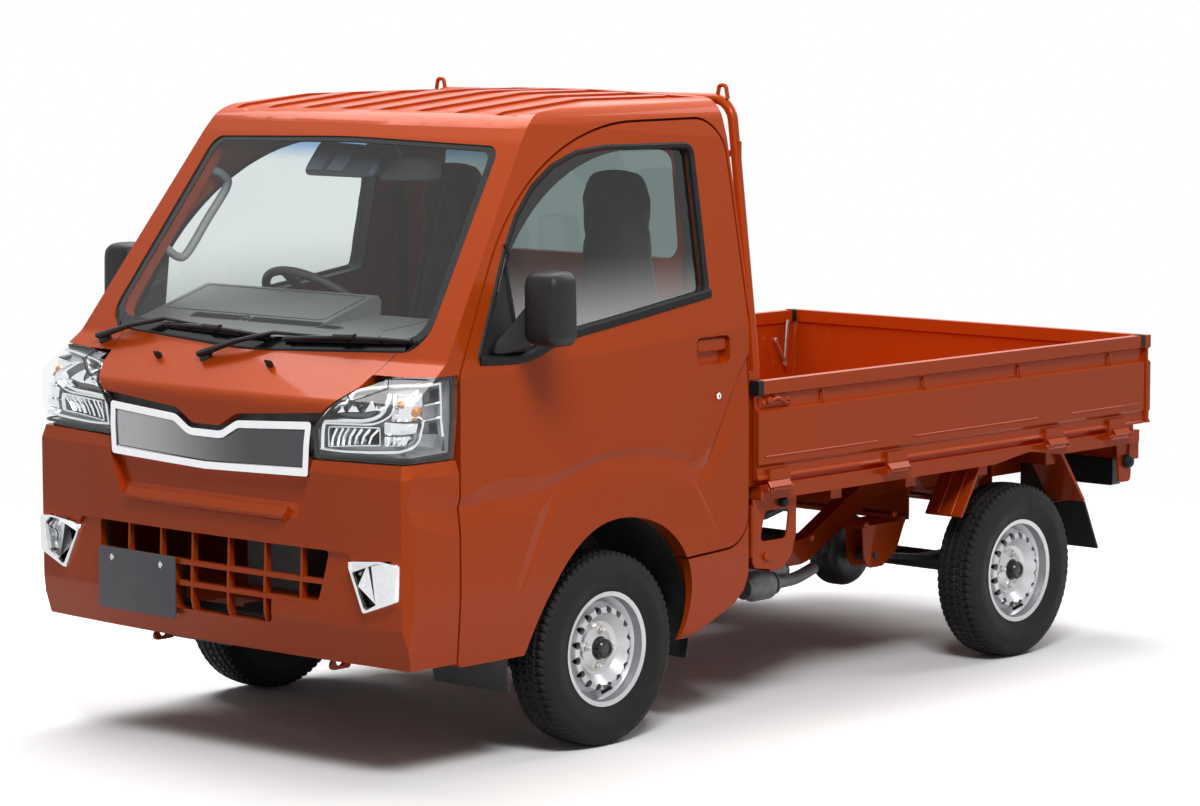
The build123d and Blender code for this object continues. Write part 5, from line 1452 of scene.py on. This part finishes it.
def build_fender_ribs():
    """Pressed ribs on the plates over the rear wheels."""
    lay = lay_front("fender_plates")
    form = bmesh.new()
    for x in (0.560, 0.610, 0.660, -0.560, -0.610, -0.660):
        strip(form, lay, [(x, 0.600), (x, 0.452)], 0.012, -0.002, 0.004, gap=0.02)
    add_piece("fender_ribs", form, paint, sharp=60)


build_exhaust()
build_underframe()
build_fender_ribs()


# ---- stage --------------------------------------------------------------------------------------
FLOOR_LIT = 0.22
FLOOR_SEEN = 1.25
FLOOR_NEAR, FLOOR_FAR = 2.4, 4.6
WORLD_LIGHT = 0.12


def seen_share(tree):
    """1 where the camera, a reflection or clear glass looks, and 0 for the light on the object."""
    path = add_node(tree, "LightPath").outputs
    through = combine(tree, "MAXIMUM", path["Is Glossy Ray"], path["Is Transmission Ray"])
    return combine(tree, "MAXIMUM", path["Is Camera Ray"], through)


def build_floor():
    """A pale floor that keeps the shadow and glows white far from the object."""
    material, tree, shader = new_material("pale_floor", {"Roughness": 0.9, "Specular IOR Level": 0.1})
    seen = seen_share(tree)
    tones = {"Factor": seen, "A": (FLOOR_LIT,) * 3 + (1,), "B": (FLOOR_SEEN,) * 3 + (1,)}
    tone = add_node(tree, "Mix", tones, data_type="RGBA")
    fill(tree, shader, {"Base Color": tone.outputs["Result"]})
    reach = add_node(tree, "VectorMath", {0: object_place(tree)}, operation="LENGTH").outputs["Value"]
    far = spread(tree, reach, 0.0, 1.0, FLOOR_NEAR, FLOOR_FAR, interpolation_type="SMOOTHSTEP")
    glow = add_node(tree, "Emission", {"Strength": 1.0}).outputs["Emission"]
    share = combine(tree, "MULTIPLY", far, seen)
    blend = add_node(tree, "MixShader", {"Fac": share, 1: shader.outputs["BSDF"], 2: glow})
    fill(tree, tree.nodes["Material Output"], {"Surface": blend.outputs["Shader"]})
    bpy.ops.mesh.primitive_plane_add(size=60, location=(0, 0, 0))
    floor = bpy.context.object
    floor.name = "studio_floor"
    floor.data.materials.append(material)


def build_world():
    """A world that looks white and lights the object a little."""
    world = bpy.data.worlds.new("studio_world")
    bpy.context.scene.world = world
    world.use_nodes = True
    tree = world.node_tree
    level = spread(tree, seen_share(tree), WORLD_LIGHT, 1.0, 0.0, 1.0)
    fill(tree, tree.nodes["Background"], {"Color": (1, 1, 1, 1), "Strength": level})


def add_lamp(name, place, target, size, watts):
    """A soft rectangular lamp aimed at a point."""
    data = bpy.data.lights.new(name, "AREA")
    data.shape = "RECTANGLE"
    data.size, data.size_y = size
    data.energy = watts
    lamp = bpy.data.objects.new(name, data)
    bpy.context.scene.collection.objects.link(lamp)
    lamp.location = place
    lamp.rotation_euler = (Vector(target) - Vector(place)).to_track_quat("-Z", "Y").to_euler()


def build_camera():
    """The viewing angle: from the front left, a little above mirror height, through a long lens."""
    data = bpy.data.cameras.new("camera")
    data.sensor_width = 36.0
    data.lens = 115.43
    data.clip_end = 200
    camera = bpy.data.objects.new("camera", data)
    bpy.context.scene.collection.objects.link(camera)
    camera.location = (7.711, -8.569, 2.093)
    camera.rotation_euler = (math.radians(90 - 6.28), math.radians(0.07), math.radians(42.38))
    bpy.context.scene.camera = camera


build_camera()
build_floor()
build_world()
add_lamp("overhead", (-1.8, 1.0, 5.6), (0, 0, 0.9), (6.0, 3.8), 380)
add_lamp("front_left", (4.0, -3.4, 5.4), (0, -0.4, 0.9), (2.4, 1.8), 250)
add_lamp("rear_top", (1.4, 6.0, 5.4), (0.3, 0.2, 0.9), (4.0, 2.6), 150)
bpy.context.scene.view_settings.view_transform = "Standard"
